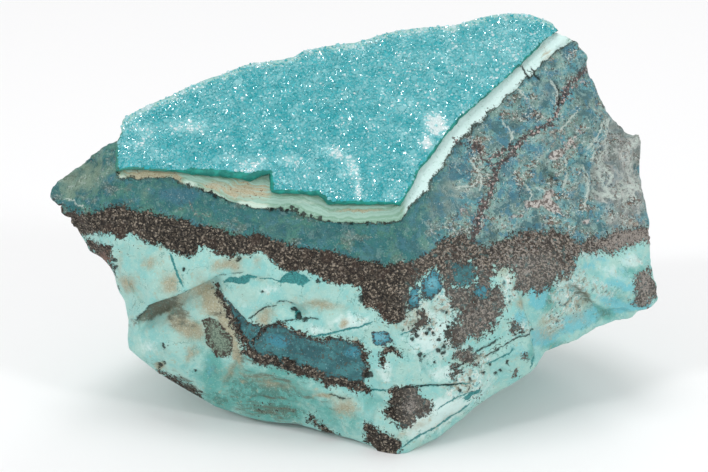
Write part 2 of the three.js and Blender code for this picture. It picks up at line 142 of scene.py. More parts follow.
BAND_TOP = [
    (48, 198), (60, 207), (78, 209), (96, 212), (106, 208), (119, 205), (138, 211), (152, 214),
    (166, 216), (180, 219), (191, 222), (208, 227), (226, 232), (246, 236), (260, 233), (276, 240),
    (296, 247), (320, 250), (336, 253), (352, 257), (373, 263), (387, 265), (401, 264), (417, 261),
    (428, 254), (436, 247), (442, 239), (452, 236), (463, 233), (470, 239), (478, 247), (489, 246),
    (499, 241), (509, 237), (521, 232), (537, 230), (553, 229), (568, 236), (578, 244), (596, 238),
    (619, 231), (633, 229), (650, 226),
]
BAND_FOOT = [
    (650, 244), (640, 243), (630, 246), (619, 251), (606, 252), (593, 254), (581, 252), (574, 254),
    (573, 266), (568, 277), (562, 274), (558, 281), (553, 290), (547, 288), (541, 293), (535, 290),
    (526, 295), (518, 291), (512, 282), (514, 268), (506, 264), (495, 270), (490, 281), (480, 284),
    (470, 282), (458, 285), (447, 287), (442, 274), (434, 266), (422, 280), (412, 288), (407, 306),
    (405, 318), (392, 324), (383, 321), (377, 310), (366, 307), (361, 300), (359, 287), (342, 284),
    (327, 281), (317, 277), (306, 270), (289, 272), (276, 265), (268, 256), (259, 253), (250, 256),
    (239, 253), (233, 258), (214, 252), (203, 247), (198, 246), (194, 257), (187, 258), (173, 252),
    (166, 247), (153, 243), (144, 240), (131, 231), (120, 239), (110, 233), (99, 231), (85, 236),
    (60, 225),
]
ABOVE_BAND = BAND_TOP + [(720, 226), (720, -60), (0, -60), (0, 200)]
BROWN_PATCHES = [
    BAND_TOP + BAND_FOOT,
    [
        (484, 280), (489, 284), (497, 286), (504, 294), (502, 301), (506, 306), (503, 316), (498, 320),
        (492, 331), (484, 333), (480, 339), (470, 336), (464, 341), (457, 349), (450, 345), (448, 337),
        (446, 331), (451, 326), (459, 322), (455, 315), (463, 309), (452, 306), (452, 298), (446, 292),
        (450, 286), (462, 290), (472, 286), (478, 290),
    ],
    [(456, 352), (470, 349), (477, 357), (479, 366), (463, 363), (454, 360)],
    [(633, 279), (647, 267), (657, 275), (659, 293), (651, 298), (637, 310), (632, 302)],
    [
        (391, 390), (396, 385), (404, 388), (411, 384), (419, 388), (418, 394), (423, 399), (431, 402),
        (430, 409), (424, 415), (417, 417), (411, 426), (402, 429), (396, 421), (386, 418), (384, 411),
        (393, 406), (387, 401), (392, 397), (387, 392),
    ],
    [(366, 422), (380, 429), (400, 441), (401, 448), (396, 458), (375, 450), (363, 441)],
    [(100, 242), (112, 246), (114, 276), (118, 290), (104, 264), (96, 256), (84, 246), (86, 238)],
]
# Where the brown leaves other stone bare
BROWN_GAPS = [
    [
        (452, 266), (456, 262), (462, 264), (468, 260), (474, 268), (470, 273), (475, 279), (468, 280),
        (465, 287), (459, 282), (453, 284), (450, 277), (455, 272),
    ],
    [
        (474, 288), (479, 285), (482, 289), (489, 287), (486, 293), (489, 298), (481, 296), (477, 299),
        (475, 294),
    ],
]
# Grey-green patches that have brown grains only along their rim
GREY_PATCHES = [
    [
        (202, 320), (210, 318), (222, 327), (231, 337), (233, 350), (229, 357), (217, 356), (209, 346),
        (205, 333),
    ],
]
# Strokes: how wide each one is in units of the view, and its line
BROWN_STROKES = [
    (4.5, [(215, 288), (222, 302), (231, 320), (240, 338), (250, 353)]),
    (3, [(246, 325), (261, 330), (277, 324), (290, 330), (303, 337), (318, 341)]),
    (2, [(318, 341), (340, 338), (358, 343), (366, 353)]),
    (5, [(366, 353), (367, 365), (366, 376)]),
    (8, [(244, 351), (262, 359), (278, 361), (296, 369), (312, 371), (326, 380), (346, 383), (367, 391)]),
    (4, [(251, 342), (262, 332)]),
    (5, [(382, 352), (392, 349), (400, 354)]),
    (6, [(383, 357), (384, 362)]),
    (5, [(160, 371), (178, 383), (198, 396)]),
    (5, [(311, 417), (324, 429), (338, 437)]),
    (6, [(421, 313), (424, 320), (419, 326), (414, 331)]),
    (5, [(514, 325), (517, 331)]),
    (4, [(523, 353), (524, 356)]),
    (3, [(452, 368), (459, 366)]),
    (3, [(453, 375), (458, 371)]),
    (3, [(515, 371), (516, 374)]),
]
BROWN_VEINS = [
    (7, [(585, 67), (571, 84), (562, 99)]),
    (6, [(560, 99), (556, 117), (537, 130), (521, 141), (512, 153), (500, 165), (494, 175)]),
    (8, [(494, 175), (488, 191), (483, 205), (480, 214), (474, 229), (472, 240)]),
    (4.8, [(456, 141), (467, 144), (476, 147), (484, 160), (493, 172)]),
    (4.5, [(484, 160), (496, 156), (512, 146), (522, 140)]),
]
BLUE_LENSES = [
    [
        (218, 288), (230, 302), (247, 324), (261, 330), (277, 325), (290, 331), (303, 338), (318, 342),
        (340, 339), (358, 344), (366, 354), (366, 376), (361, 389), (346, 384), (330, 379), (313, 372),
        (294, 368), (278, 363), (262, 360), (251, 355), (239, 338), (230, 316),
    ],
    [(421, 284), (434, 268), (442, 276), (446, 287), (438, 297), (428, 300), (420, 296)],
    [(407, 300), (412, 289), (421, 287), (424, 296), (420, 308), (410, 312)],
    [(372, 330), (388, 331), (393, 341), (385, 347), (372, 344)],
    [(447, 261), (461, 259), (474, 264), (476, 277), (469, 287), (458, 288), (447, 280)],
    [(472, 285), (482, 282), (491, 285), (491, 300), (480, 302), (471, 296)],
]
TEAL_LENSES = [
    [
        (221, 284), (230, 278), (238, 276), (248, 275), (252, 276), (261, 276), (250, 280), (245, 283),
        (234, 283),
    ],
    [(282, 276), (294, 270), (304, 275), (309, 280), (302, 287), (293, 284), (276, 281)],
    [(292, 311), (299, 310), (301, 318), (293, 319)],
]
TEAL_STROKES = [
    (2.4, [(169, 252), (175, 268), (180, 280), (184, 288)]),
    (1.4, [(258, 278), (272, 279), (284, 281)]),
    (2, [(310, 337), (328, 334), (345, 329), (361, 326), (374, 321)]),
    (1.6, [(400, 335), (416, 329)]),
    (2, [(366, 390), (388, 390)]),
    (1.4, [(417, 387), (439, 386), (460, 384), (470, 383)]),
    (1.8, [(401, 449), (411, 441), (424, 433), (436, 427), (447, 420), (460, 409), (468, 401)]),
    (1.4, [(436, 410), (443, 404), (458, 396), (470, 390)]),
    (1.6, [(484, 365), (500, 358), (516, 349)]),
    (1.6, [(529, 369), (533, 354), (537, 340)]),
    (1.2, [(538, 42), (541, 52), (541, 64)]),
    (4, [(462, 399), (470, 392), (480, 386)]),
]
# Dark cracks. The first line, along the ledge on the lower left, and the line under the small ledge on the
# lower right are painted shadow under those ledges.
DARK_CRACKS_AND_LEDGE_SHADOWS = [
    (2.6, [(134, 321), (146, 310), (164, 301), (176, 298), (190, 291)]),
    (0.7, [(190, 291), (205, 284), (219, 275), (243, 272)]),
    (1.2, [(300, 317), (308, 319), (318, 319)]),
    (1.3, [(268, 326), (282, 322), (300, 319), (312, 318)]),
    (1.4, [(246, 320), (253, 315), (262, 309), (277, 305)]),
    (0.9, [(275, 303), (284, 301), (296, 305)]),
    (1.6, [(484, 358), (505, 345), (519, 338), (537, 331)]),
    (1.8, [(514, 60), (522, 66), (528, 79)]),
    (1.8, [(530, 66), (534, 74), (540, 80)]),
    (1, [(554, 81), (559, 92), (559, 106)]),
    (1.2, [(450, 371), (458, 368), (466, 362)]),
    (1, [(452, 376), (458, 373), (466, 372)]),
    (1.2, [(476, 352), (488, 347), (500, 340)]),
    (1, [(401, 388), (430, 386), (462, 384)]),
    (0.9, [(352, 398), (340, 396), (328, 392)]),
]
# Dots: across, down and radius
DARK_DOTS = [
    (167, 344, 1.7), (183, 269, 1.3), (197, 371, 1.6), (161, 364, 2), (166, 361, 1.3), (115, 259, 2),
    (115, 267, 1.6), (369, 376, 3.5), (361, 299, 2.6), (317, 281, 2.4), (325, 280, 1), (416, 336, 2.2),
    (412, 340, 1.4), (420, 355, 2.4), (426, 357, 1.6), (421, 360, 1.2), (426, 333, 1.4), (430, 329, 1.8),
    (433, 333, 1.2), (435, 362, 1.4), (439, 350, 2), (443, 353, 1.6), (444, 347, 1.4), (497, 375, 2),
    (502, 373, 1.4), (240, 259, 1.7), (262, 291, 1.2), (292, 310, 2.4), (297, 316, 3.2), (304, 319, 2.6),
    (403, 330, 1.2), (470, 378, 1.4), (483, 372, 1.2), (401, 310, 1.4), (490, 364, 1.2), (459, 389, 1.4),
    (477, 394, 1.2), (508, 362, 1.4), (446, 312, 1.3), (211, 193, 1.8), (215, 196, 1.4), (236, 203, 1.4),
    (246, 206, 1.6), (272, 208, 1.5), (281, 208, 2), (287, 210, 1.8), (292, 207, 1.6), (297, 210, 2.2),
    (304, 213, 1.8), (311, 216, 1.6), (320, 218, 2), (328, 222, 1.8), (341, 223, 1.2), (352, 224, 1.6),
    (366, 224, 1.5), (203, 190, 1.2), (226, 200, 1.2), (438, 340, 1.6), (446, 327, 1.4),
]
PALE_STREAKS = [
    (2.8, [(613, 112), (604, 138), (596, 152), (593, 174), (600, 192), (612, 200)]),
    (2.2, [(607, 118), (609, 146), (602, 172), (611, 198)]),
    (1.8, [(612, 200), (622, 190), (632, 186), (641, 191)]),
    (2.6, [(583, 163), (589, 186), (586, 208)]),
    (2, [(550, 80), (557, 92), (555, 107)]),
    (1.2, [(510, 84), (519, 92), (523, 101)]),
    (1.6, [(563, 156), (568, 174), (565, 188)]),
    (1.4, [(500, 168), (491, 184), (485, 204), (477, 232)]),
    (1, [(603, 118), (597, 132), (590, 150)]),
    (1.2, [(640, 150), (634, 168), (640, 190)]),
    (1.3, [(624, 128), (636, 140), (628, 160)]),
    (0.6, [(64, 198), (76, 201), (90, 207)]),
    (1, [(452, 190), (462, 186), (474, 188)]),
    (1.2, [(536, 186), (548, 192), (556, 204)]),
    (1.2, [(575, 110), (566, 124), (558, 132)]),
    (1.4, [(470, 160), (480, 176), (478, 192)]),
    (1.2, [(500, 120), (512, 134), (508, 150)]),
    (1.6, [(606, 160), (612, 176), (606, 190)]),
    (1.1, [(524, 176), (532, 196), (526, 214)]),
    (1.2, [(622, 176), (630, 192), (624, 214)]),
]
# Where the stone steps down on the right of a line: how far in mm, how wide the hollow is, and the line
LEDGES = [
    (1.7, 15, [(131, 324), (146, 309), (164, 301), (176, 298), (190, 291), (205, 283), (226, 272)]),
    (0.7, 22, [
        (226, 293), (238, 312), (247, 324), (262, 329), (277, 324), (303, 337), (340, 338), (370, 354),
    ]),
    (0.9, 22, [(536, 362), (531, 338), (528, 318), (522, 302), (514, 284)]),
    (0.6, 14, [(218, 398), (204, 372), (194, 350), (188, 330), (196, 308)]),
    (0.5, 12, [(218, 394), (230, 372), (240, 345)]),
    (0.9, 14, [(562, 276), (578, 290), (594, 303), (606, 310), (622, 308), (642, 314)]),
    (0.4, 8, [(484, 358), (505, 346), (519, 339), (540, 332)]),
    (0.5, 10, [(254, 313), (278, 303), (300, 305), (332, 299)]),
    (1.5, 26, [(598, 204), (593, 174), (596, 152), (604, 138), (616, 108)]),
    (1, 16, [(586, 212), (589, 186), (583, 163), (576, 136)]),
    (0.5, 14, [(560, 210), (548, 180), (540, 150)]),
    (0.4, 12, [(296, 345), (330, 352), (362, 366)]),
    (0.9, 12, [(622, 216), (618, 192), (628, 168), (640, 150)]),
    (0.7, 12, [(530, 222), (520, 196), (530, 170)]),
    (0.5, 12, [(236, 402), (262, 396), (300, 402), (330, 414)]),
    (0.5, 10, [(60, 178), (84, 166), (110, 160)]),
]
# Small mounds and pits: across, down, half width, half height, turn in degrees and height in mm
MOUNDS = [
    (343, 402, 15, 8, 15, 0.9), (300, 312, 7, 4, 10, -1.1), (188, 268, 26, 12, 0, 0.4),
    (150, 340, 22, 20, 0, 0.5), (352, 322, 24, 9, 0, 0.4), (610, 196, 10, 8, 0, 0.6),
    (600, 150, 6, 26, 8, 0.5), (470, 200, 22, 26, 0, 0.3), (270, 385, 30, 6, 5, -0.3),
    (52, 191, 8, 10, 0, 0.3), (63, 206, 10, 6, 40, 0.8), (76, 222, 8, 8, 40, 0.3),
    (318, 388, 20, 5, 10, 0.3), (450, 405, 26, 8, -30, 0.4), (560, 300, 12, 12, 0, -0.5),
    (612, 290, 16, 10, 0, 0.4),
]
# The thin broken corner on the right, which is a little rounder than the rest
THIN_CORNER = (641, 131)
THIN_CORNER_REACH = 9
# The crease left of the druse, which stays sharp, as the edge of the seam does
LEFT_CREASE = [(118, 150), (112, 205)]
RELAX_ROUNDS = 12

# Soft spots on the front: across, down, half width, half height, turn in degrees and strength.
# The pink ones are gravel on the right-hand face.
PINK_SPOTS = [
    (557, 154, 10, 6, -40, 1.7), (536, 203, 12, 5, 10, 1.7), (552, 206, 10, 6, 10, 1.7),
    (548, 195, 10, 5, -40, 1.4), (576, 148, 5, 10, 20, 0.7), (520, 216, 10, 4, 0, 0.9),
    (462, 210, 10, 6, -20, 0.5), (589, 70, 4, 8, 20, 0.8), (500, 222, 12, 4, 0, 0.7),
    (590, 222, 16, 4, 0, 0.8), (530, 140, 6, 6, 0, 0.5), (570, 142, 14, 5, -50, 1.1),
    (520, 102, 10, 6, -30, 0.5), (578, 86, 4, 8, 30, 0.9),
]
# Tan stains. Below the ledge on the lower left they are made stronger as painted shade in its hollow.
TAN_STAIN_AND_SHADE_SPOTS = [
    (322, 304, 27, 6, 5, 0.9), (264, 314, 9, 7, -30, 1.2), (345, 324, 5, 5, 0, 1.5),
    (346, 405, 15, 9, 20, 1.2), (326, 394, 12, 3, 8, 1.1), (128, 283, 9, 11, 0, 1.1),
    (171, 284, 12, 14, 20, 1.2), (228, 265, 18, 7, -5, 1.2), (263, 319, 10, 8, -30, 1.1),
    (212, 303, 20, 11, 55, 2), (227, 328, 20, 8, 66, 2), (236, 352, 5, 16, -12, 1.5),
    (200, 294, 16, 6, -20, 1.2), (166, 309, 26, 6, -24, 1.1), (230, 372, 4, 16, 25, 0.9),
    (186, 326, 26, 10, 38, 1.5), (205, 296, 18, 7, -25, 1), (256, 262, 6, 6, 0, 0.7),
    (414, 320, 16, 11, -40, 0.9), (440, 303, 16, 6, -40, 0.7), (550, 329, 12, 16, 0, 0.9),
    (577, 309, 15, 14, 0, 0.8), (520, 304, 6, 9, 0, 1), (505, 272, 10, 8, 0, 0.8),
    (455, 300, 14, 8, -30, 0.8), (160, 345, 14, 6, 10, 0.3), (150, 262, 14, 10, 0, 0.7),
    (120, 262, 5, 18, 0, 0.4), (192, 335, 8, 16, 0, 0.5), (192, 352, 6, 8, 0, 0.8),
    (257, 278, 8, 4, 0, 0.6), (465, 362, 20, 7, 10, 0.5), (161, 364, 6, 5, 0, 1.3),
    (190, 355, 3, 12, 20, 1), (412, 428, 26, 6, -30, 0.5), (250, 376, 30, 4, 8, 0.6),
    (275, 385, 34, 4, 4, 0.7), (445, 420, 22, 5, -38, 0.5),
]
SEAM_TAN_SPOTS = [
    (150, 174, 30, 5, 0, 1.2), (177, 178, 6, 8, 0, 1.1), (215, 186, 16, 6, 10, 1),
    (245, 191, 24, 9, 10, 1.2), (262, 192, 10, 10, 0, 1), (360, 211, 40, 2.5, 0, 0.9),
    (545, 52, 8, 10, 0, 0.6), (230, 192, 12, 2.5, 25, 1.7),
]
DEEP_SPOTS = [
    (212, 372, 15, 30, 0, 1), (262, 388, 66, 24, 8, 1.2), (275, 410, 50, 12, 5, 1.3),
    (240, 395, 30, 14, 15, 1.1), (547, 300, 15, 16, 0, 1.2), (551, 345, 12, 8, 0, 1),
    (285, 372, 50, 8, 10, 0.8), (330, 410, 30, 16, 30, 0.7), (352, 425, 20, 16, 30, 0.6),
    (220, 400, 22, 10, 25, 1.2), (196, 325, 6, 6, 0, 0.8), (587, 290, 16, 8, 30, 0.5),
    (605, 315, 20, 8, -10, 1.2), (632, 270, 18, 6, -10, 0.7), (620, 296, 18, 12, 0, 0.7),
    (530, 350, 6, 20, 10, 0.8), (375, 400, 20, 12, 20, 0.5), (590, 268, 20, 10, 0, 0.3),
    (310, 388, 40, 6, 10, 0.7),
]
BLUE_SPOTS = [
    (177, 196, 20, 10, 0, 1.1), (193, 196, 8, 10, 0, 0.8), (545, 96, 20, 18, -30, 0.7),
    (456, 172, 14, 12, -30, 1.3), (472, 152, 9, 8, -30, 1.1), (530, 118, 12, 10, -30, 0.9),
    (508, 172, 14, 10, -40, 0.8), (568, 52, 8, 12, 0, 0.8), (276, 225, 60, 10, 12, 0.5),
    (430, 215, 20, 26, 30, 0.5), (520, 190, 26, 14, -30, 0.6), (275, 343, 22, 9, 10, 1),
    (352, 353, 10, 8, 0, 1), (500, 205, 14, 12, 0, 0.6), (350, 240, 60, 10, 6, 0.4),
    (600, 200, 14, 30, 0, 0.3), (527, 320, 7, 14, 0, 1), (495, 285, 10, 6, 0, 0.8),
    (540, 226, 16, 4, 0, 0.9), (575, 205, 16, 14, 0, 0.5), (433, 283, 12, 14, 0, 1.7),
    (416, 298, 8, 10, 0, 1.5), (381, 338, 10, 9, 0, 1.9), (481, 291, 8, 8, 0, 1.2),
]
FADED_SPOTS = [
    (80, 178, 44, 24, -20, 1), (625, 170, 30, 70, 0, 1.5), (610, 196, 12, 9, 0, 2.2),
    (630, 240, 40, 16, 0, 0.9), (600, 185, 40, 50, 0, 0.7), (560, 200, 40, 30, 0, 0.5),
    (150, 190, 30, 14, 0, 0.4), (448, 200, 30, 26, -40, 0.75), (405, 250, 30, 16, 0, 0.5),
    (545, 150, 40, 24, -30, 0.5), (600, 120, 30, 30, 0, 0.5), (575, 60, 16, 30, 0, 0.4),
    (545, 92, 30, 16, -35, 0.5), (520, 260, 30, 24, 0, 0.35), (640, 285, 20, 26, 0, 0.4),
    (410, 404, 9, 11, 20, 1.1), (645, 284, 8, 10, 0, 0.8), (480, 318, 14, 12, -30, 0.3),
]
PALE_SPOTS = [
    (318, 330, 16, 8, 10, 0.9), (352, 322, 26, 12, 0, 1), (380, 305, 14, 24, 0, 0.6),
    (245, 303, 16, 12, 20, 0.5), (345, 283, 22, 10, 0, 0.4), (430, 330, 34, 40, -10, 1),
    (470, 385, 40, 26, -20, 0.8), (436, 415, 40, 14, -34, 1.6), (515, 330, 16, 26, 0, 0.6),
    (150, 335, 22, 16, 0, 0.2), (140, 270, 20, 16, 0, 0.3), (430, 300, 30, 16, 0, 0.6),
    (268, 290, 22, 7, 0, 0.7), (385, 372, 10, 16, 0, 0.9), (630, 262, 18, 12, 0, 0.8),
    (612, 272, 22, 12, 20, 0.75), (445, 374, 16, 10, 0, 1), (420, 370, 20, 10, 0, 0.5),
    (214, 197, 22, 5, 18, 1.3), (190, 184, 8, 4, 20, 1.3), (252, 205, 22, 4, 5, 1.3),
    (300, 202, 26, 3, 8, 0.8), (150, 345, 18, 12, 0, 0.7), (120, 178, 6, 4, 0, 1.2),
]
# Where the stone is crumbled, with every colour close together
RUBBLE_SPOTS = [
    (572, 292, 22, 26, 20, 1.1), (556, 322, 12, 16, 0, 0.8), (445, 300, 16, 26, -30, 1),
    (428, 325, 16, 16, 0, 0.8), (465, 382, 26, 14, -30, 1), (452, 345, 22, 12, 0, 0.8),
    (508, 290, 10, 24, 0, 0.9), (522, 330, 16, 12, -30, 0.7), (550, 270, 14, 12, 0, 0.9),
    (600, 290, 18, 10, 20, 0.7), (405, 318, 14, 12, 0, 0.6), (590, 255, 20, 8, 0, 0.7),
    (640, 262, 16, 10, 0, 0.5), (436, 395, 20, 10, 0, 0.4), (480, 358, 20, 10, 0, 0.8),
    (560, 345, 16, 6, -20, 0.4),
]
SKY_SPOTS = [
    (540, 294, 9, 16, 0, 1.7), (575, 322, 26, 9, -18, 1.7), (548, 338, 14, 10, -20, 1.7),
    (632, 306, 20, 6, -20, 1.6), (610, 300, 18, 7, 20, 1.2), (566, 272, 10, 6, -30, 1.2),
    (588, 266, 10, 6, 0, 1), (521, 320, 6, 10, 0, 1.2), (598, 258, 14, 7, 20, 0.7),
    (618, 284, 26, 6, 20, 0.8), (210, 372, 10, 24, 0, 0.5), (520, 352, 14, 10, 0, 0.6),
    (565, 262, 12, 10, 0, 0.9), (380, 400, 22, 8, 20, 0.5), (520, 315, 9, 14, 0, 0.6),
    (150, 300, 20, 8, -20, 0.3), (602, 280, 60, 36, 0, 0.4), (440, 340, 50, 40, 0, 0.15),
]
# Olive murk: partly a dull stain, partly painted shade in the hollows under the ledges on the lower left and
# on the right.
MURK_AND_SHADE_SPOTS = [
    (262, 362, 40, 6, 10, 0.8), (280, 378, 46, 4, 6, 1), (262, 410, 44, 8, 4, 0.9),
    (300, 392, 40, 4, 12, 0.7), (414, 322, 14, 14, 0, 0.6), (154, 312, 24, 5, -28, 1.9),
    (176, 313, 12, 9, 10, 0.9), (216, 313, 8, 11, -30, 0.7), (262, 398, 46, 3, 6, 0.8),
    (190, 385, 22, 6, 34, 1), (240, 372, 8, 16, 0, 0.6), (512, 308, 6, 14, 0, 0.5),
    (178, 318, 18, 9, 30, 1.2), (320, 425, 16, 7, 30, 0.8), (584, 296, 17, 6, 45, 1.4),
    (330, 406, 12, 5, 20, 0.6), (210, 400, 14, 6, 30, 0.5), (285, 420, 26, 4, 6, 0.9),
    (345, 366, 20, 4, 12, 0.4),
]
RUST_SPOTS = [
    (105, 262, 14, 18, 20, 1.3), (191, 206, 5, 9, 10, 0.8), (203, 214, 10, 7, 0, 0.8),
    (175, 187, 8, 4, 30, 0.5), (95, 160, 20, 6, -20, 0.5), (205, 225, 9, 8, 0, 0.6),
    (554, 135, 20, 16, -40, 0.8), (305, 345, 9, 7, 0, 0.9), (365, 304, 6, 8, 0, 0.9),
    (545, 204, 16, 9, -20, 0.7), (480, 222, 10, 14, 0, 0.7), (85, 168, 12, 5, -30, 0.4),
    (160, 183, 8, 3, 0, 0.4), (410, 190, 14, 10, -40, 0.5), (452, 310, 10, 12, 0, 0.6),
    (190, 330, 14, 6, 30, 0.6), (628, 152, 12, 22, 0, 0.7), (634, 222, 14, 10, 0, 0.8),
    (552, 58, 8, 9, -30, 0.7), (520, 160, 8, 6, -30, 0.6), (463, 212, 12, 9, -30, 0.9),
]
SPECKLE_SPOTS = [
    (475, 392, 16, 16, 0, 1), (498, 344, 22, 12, -10, 1), (442, 330, 14, 28, 0, 0.9),
    (555, 320, 16, 18, 0, 0.7), (270, 409, 36, 10, 4, 0.8), (580, 310, 16, 12, 0, 0.7),
    (410, 412, 26, 16, 0, 0.3), (300, 338, 70, 14, 8, 0.5), (190, 385, 20, 8, 30, 0.7),
    (505, 270, 12, 12, 0, 0.8), (420, 300, 20, 20, 0, 0.5), (140, 244, 30, 8, 0, 0.5),
    (470, 300, 20, 14, 0, 0.6), (536, 300, 10, 14, 0, 0.4), (128, 250, 20, 12, 0, 0.4),
]
# Milky patches among the crystals
MILKY_SPOTS = [
    (338, 155, 12, 5, 30, 1.3), (354, 168, 6, 12, -10, 1.3), (358, 188, 4, 14, 0, 1.2),
    (436, 124, 10, 12, -40, 2.2), (427, 143, 8, 7, 0, 1.8), (412, 163, 5, 5, 0, 0.8),
    (391, 195, 5, 6, 0, 0.8), (289, 160, 12, 6, 0, 0.9), (306, 176, 42, 18, 0, 0.3),
    (251, 165, 17, 10, 0, 0.8), (145, 130, 13, 9, 0, 0.9), (188, 126, 24, 8, 5, 0.9),
    (262, 162, 6, 8, 0, 0.8), (230, 158, 10, 5, 0, 0.7), (510, 50, 24, 18, -40, 0.55),
    (400, 100, 40, 24, 0, 0.25), (470, 60, 40, 26, -30, 0.35), (420, 60, 40, 20, 0, 0.3),
    (225, 100, 30, 14, 0, 0.25), (140, 145, 14, 8, 0, 0.6),
]
CLEAR_SPOTS = [
    (165, 112, 26, 13, -20, 1), (234, 95, 20, 16, 0, 0.7), (205, 145, 50, 10, 5, 0.8),
    (330, 120, 50, 20, -10, 0.4), (300, 90, 40, 16, 0, 0.4), (385, 165, 20, 20, -30, 0.5),
    (460, 95, 30, 16, -40, 0.4),
]


def sight(x, y):
    """The direction from the eye through a point of the view, scaled to advance 1 mm in depth."""
    scale = UNIT / VIEW_DISTANCE
    return AWAY + ACROSS * (x - VIEW_CENTRE[0]) * scale + UPRIGHT * (VIEW_CENTRE[1] - y) * scale


def seen(x, y, depth):
    return EYE + sight(x, y) * (VIEW_DISTANCE + depth)


def in_view(points):
    """Where points of the stone are seen."""
    offset = points[:, :3] - EYE
    scale = VIEW_DISTANCE / (offset @ AWAY) / UNIT
    across = VIEW_CENTRE[0] + (offset @ ACROSS) * scale
    return np.stack([across, VIEW_CENTRE[1] - (offset @ UPRIGHT) * scale], axis=1)


def plane_through(places):
    """A point of the plane through three places in the view, and its normal, which points up."""
    a, b, c = (seen(*place) for place in places)
    normal = np.cross(b - a, c - a)
    normal /= np.linalg.norm(normal)
    return a, normal if normal[2] > 0 else -normal


DRUSE_ORIGIN, DRUSE_NORMAL = plane_through(DRUSE_POINTS)
BAND_ORIGIN, BAND_NORMAL = plane_through(BAND_POINTS)
DRUSE_ACROSS = ACROSS - DRUSE_NORMAL * (ACROSS @ DRUSE_NORMAL)
DRUSE_ACROSS /= np.linalg.norm(DRUSE_ACROSS)
DRUSE_UP = np.cross(DRUSE_NORMAL, DRUSE_ACROSS)


def druse_place(x, y, drop=0):
    """Where a point of the view lies across and up the druse, on its plane or at a drop below it."""
    line = sight(x, y)
    reach = ((DRUSE_ORIGIN - EYE) @ DRUSE_NORMAL - drop) / (line @ DRUSE_NORMAL)
    hit = EYE + line * reach - DRUSE_ORIGIN
    return hit @ DRUSE_ACROSS, hit @ DRUSE_UP


def on_druse(flat):
    """Points across, up and above the druse, as points of the stone."""
    return (
        DRUSE_ORIGIN
        + flat[:, :1] * DRUSE_ACROSS
        + flat[:, 1:2] * DRUSE_UP
        + flat[:, 2:3] * DRUSE_NORMAL
    )


# Measuring against the outlines


def line_depth(points, lines):
    """How deep each point of the view lies inside lines that have a half width, below zero outside."""
    order = np.argsort(points[:, 0])
    ordered = points[order]
    deepest = np.full(len(points), -float(REACH))
    for half_width, line in lines:
        for start, end in zip(np.array(line, float)[:-1], np.array(line, float)[1:]):
            span = (min(start[0], end[0]) - REACH, max(start[0], end[0]) + REACH)
            first, last = np.searchsorted(ordered[:, 0], span)
            near = ordered[first:last] - start
            run = end - start
            share = np.clip(near @ run / max(run @ run, 1e-9), 0, 1)
            gap = np.hypot(near[:, 0] - share * run[0], near[:, 1] - share * run[1])
            deepest[first:last] = np.maximum(deepest[first:last], half_width - gap)
    result = np.empty(len(points))
    result[order] = deepest
    return result


def distance_to_line(points, line):
    return -line_depth(points, [(0, line)])


def along_line(points, line):
    """How far along a line the place nearest to each point lies, and how far off it the point is.
    That is above zero on the right of someone who walks along the line."""
    gaps = np.full(len(points), np.inf)
    along = np.zeros(len(points))
    passed = 0
    for start, end in zip(np.array(line, float)[:-1], np.array(line, float)[1:]):
        run = end - start
        length = np.linalg.norm(run)
        offset = points - start
        share = np.clip(offset @ run / length**2, 0, 1)
        gap = np.linalg.norm(offset - share[:, None] * run, axis=1)
        right = run[0] * offset[:, 1] - run[1] * offset[:, 0] > 0
        nearer = gap < np.abs(gaps)
        along = np.where(nearer, passed + share * length, along)
        gaps = np.where(nearer, np.where(right, gap, -gap), gaps)
        passed += length
    return along, gaps


def thin_lines(points, strokes):
    """For lines thinner than the mesh: how far off the nearest one each point is, on which side, and
    how wide the line is there, in mm. The width is below zero beyond a line's ends."""
    gaps = np.full(len(points), 9.0)
    widths = np.full(len(points), OUTSIDE)
    for width, line in strokes:
        corners = np.array(line, float)
        low, high = corners.min(axis=0) - 6, corners.max(axis=0) + 6
        near = np.flatnonzero(((points > low) & (points < high)).all(axis=1))
        along, gap = along_line(points[near], line)
        length = np.linalg.norm(np.diff(corners, axis=0), axis=1).sum()
        beside = (along > 0.01) & (along < length - 0.01) & (np.abs(gap) < 3.6)
        taper = 0.4 + 0.6 * smooth_rise(np.minimum(along, length - along), 0, 6)
        closer = np.abs(gap) < np.abs(gaps[near])
        gaps[near[closer]] = gap[closer]
        widths[near[closer]] = np.where(beside, width * taper, OUTSIDE)[closer]
    return gaps * UNIT, widths * UNIT


def ledge_depth(points, ledges):
    """The stone drops on the right of each ledge and comes back with distance, in mm."""
    total = np.zeros(len(points))
    for depth, reach, line in ledges:
        along, gap = along_line(points, line)
        share = along / along.max()
        fade = smooth_rise(share, 0, 0.2) * smooth_rise(share, 1, 0.8)
        total += depth * fade * smooth_rise(gap, -0.8, 1.6) * np.exp(-((np.maximum(gap, 0) / reach) ** 2))
    return total


def is_inside(points, outline):
    inside = np.zeros(len(points), bool)
    for (ax, ay), (bx, by) in zip(outline, outline[1:] + outline[:1]):
        if ay == by:
            continue
        crosses = (ay > points[:, 1]) != (by > points[:, 1])
        inside ^= crosses & (points[:, 0] < ax + (points[:, 1] - ay) / (by - ay) * (bx - ax))
    return inside


def patch_depth(points, outlines):
    """How deep each point lies inside any of the outlines, in mm, below zero outside them all."""
    inside = np.zeros(len(points), bool)
    for outline in outlines:
        inside |= is_inside(points, outline)
    edge = -line_depth(points, [(0, outline + outline[:1]) for outline in outlines])
    return np.where(inside, edge, -edge) * UNIT


def stroke_depth(points, strokes):
    """The same for strokes that have a width and a line."""
    return line_depth(points, [(width / 2, line) for width, line in strokes]) * UNIT


def dot_depth(points, dots):
    return stroke_depth(points, [(2 * radius, [(x, y), (x, y)]) for x, y, radius in dots])


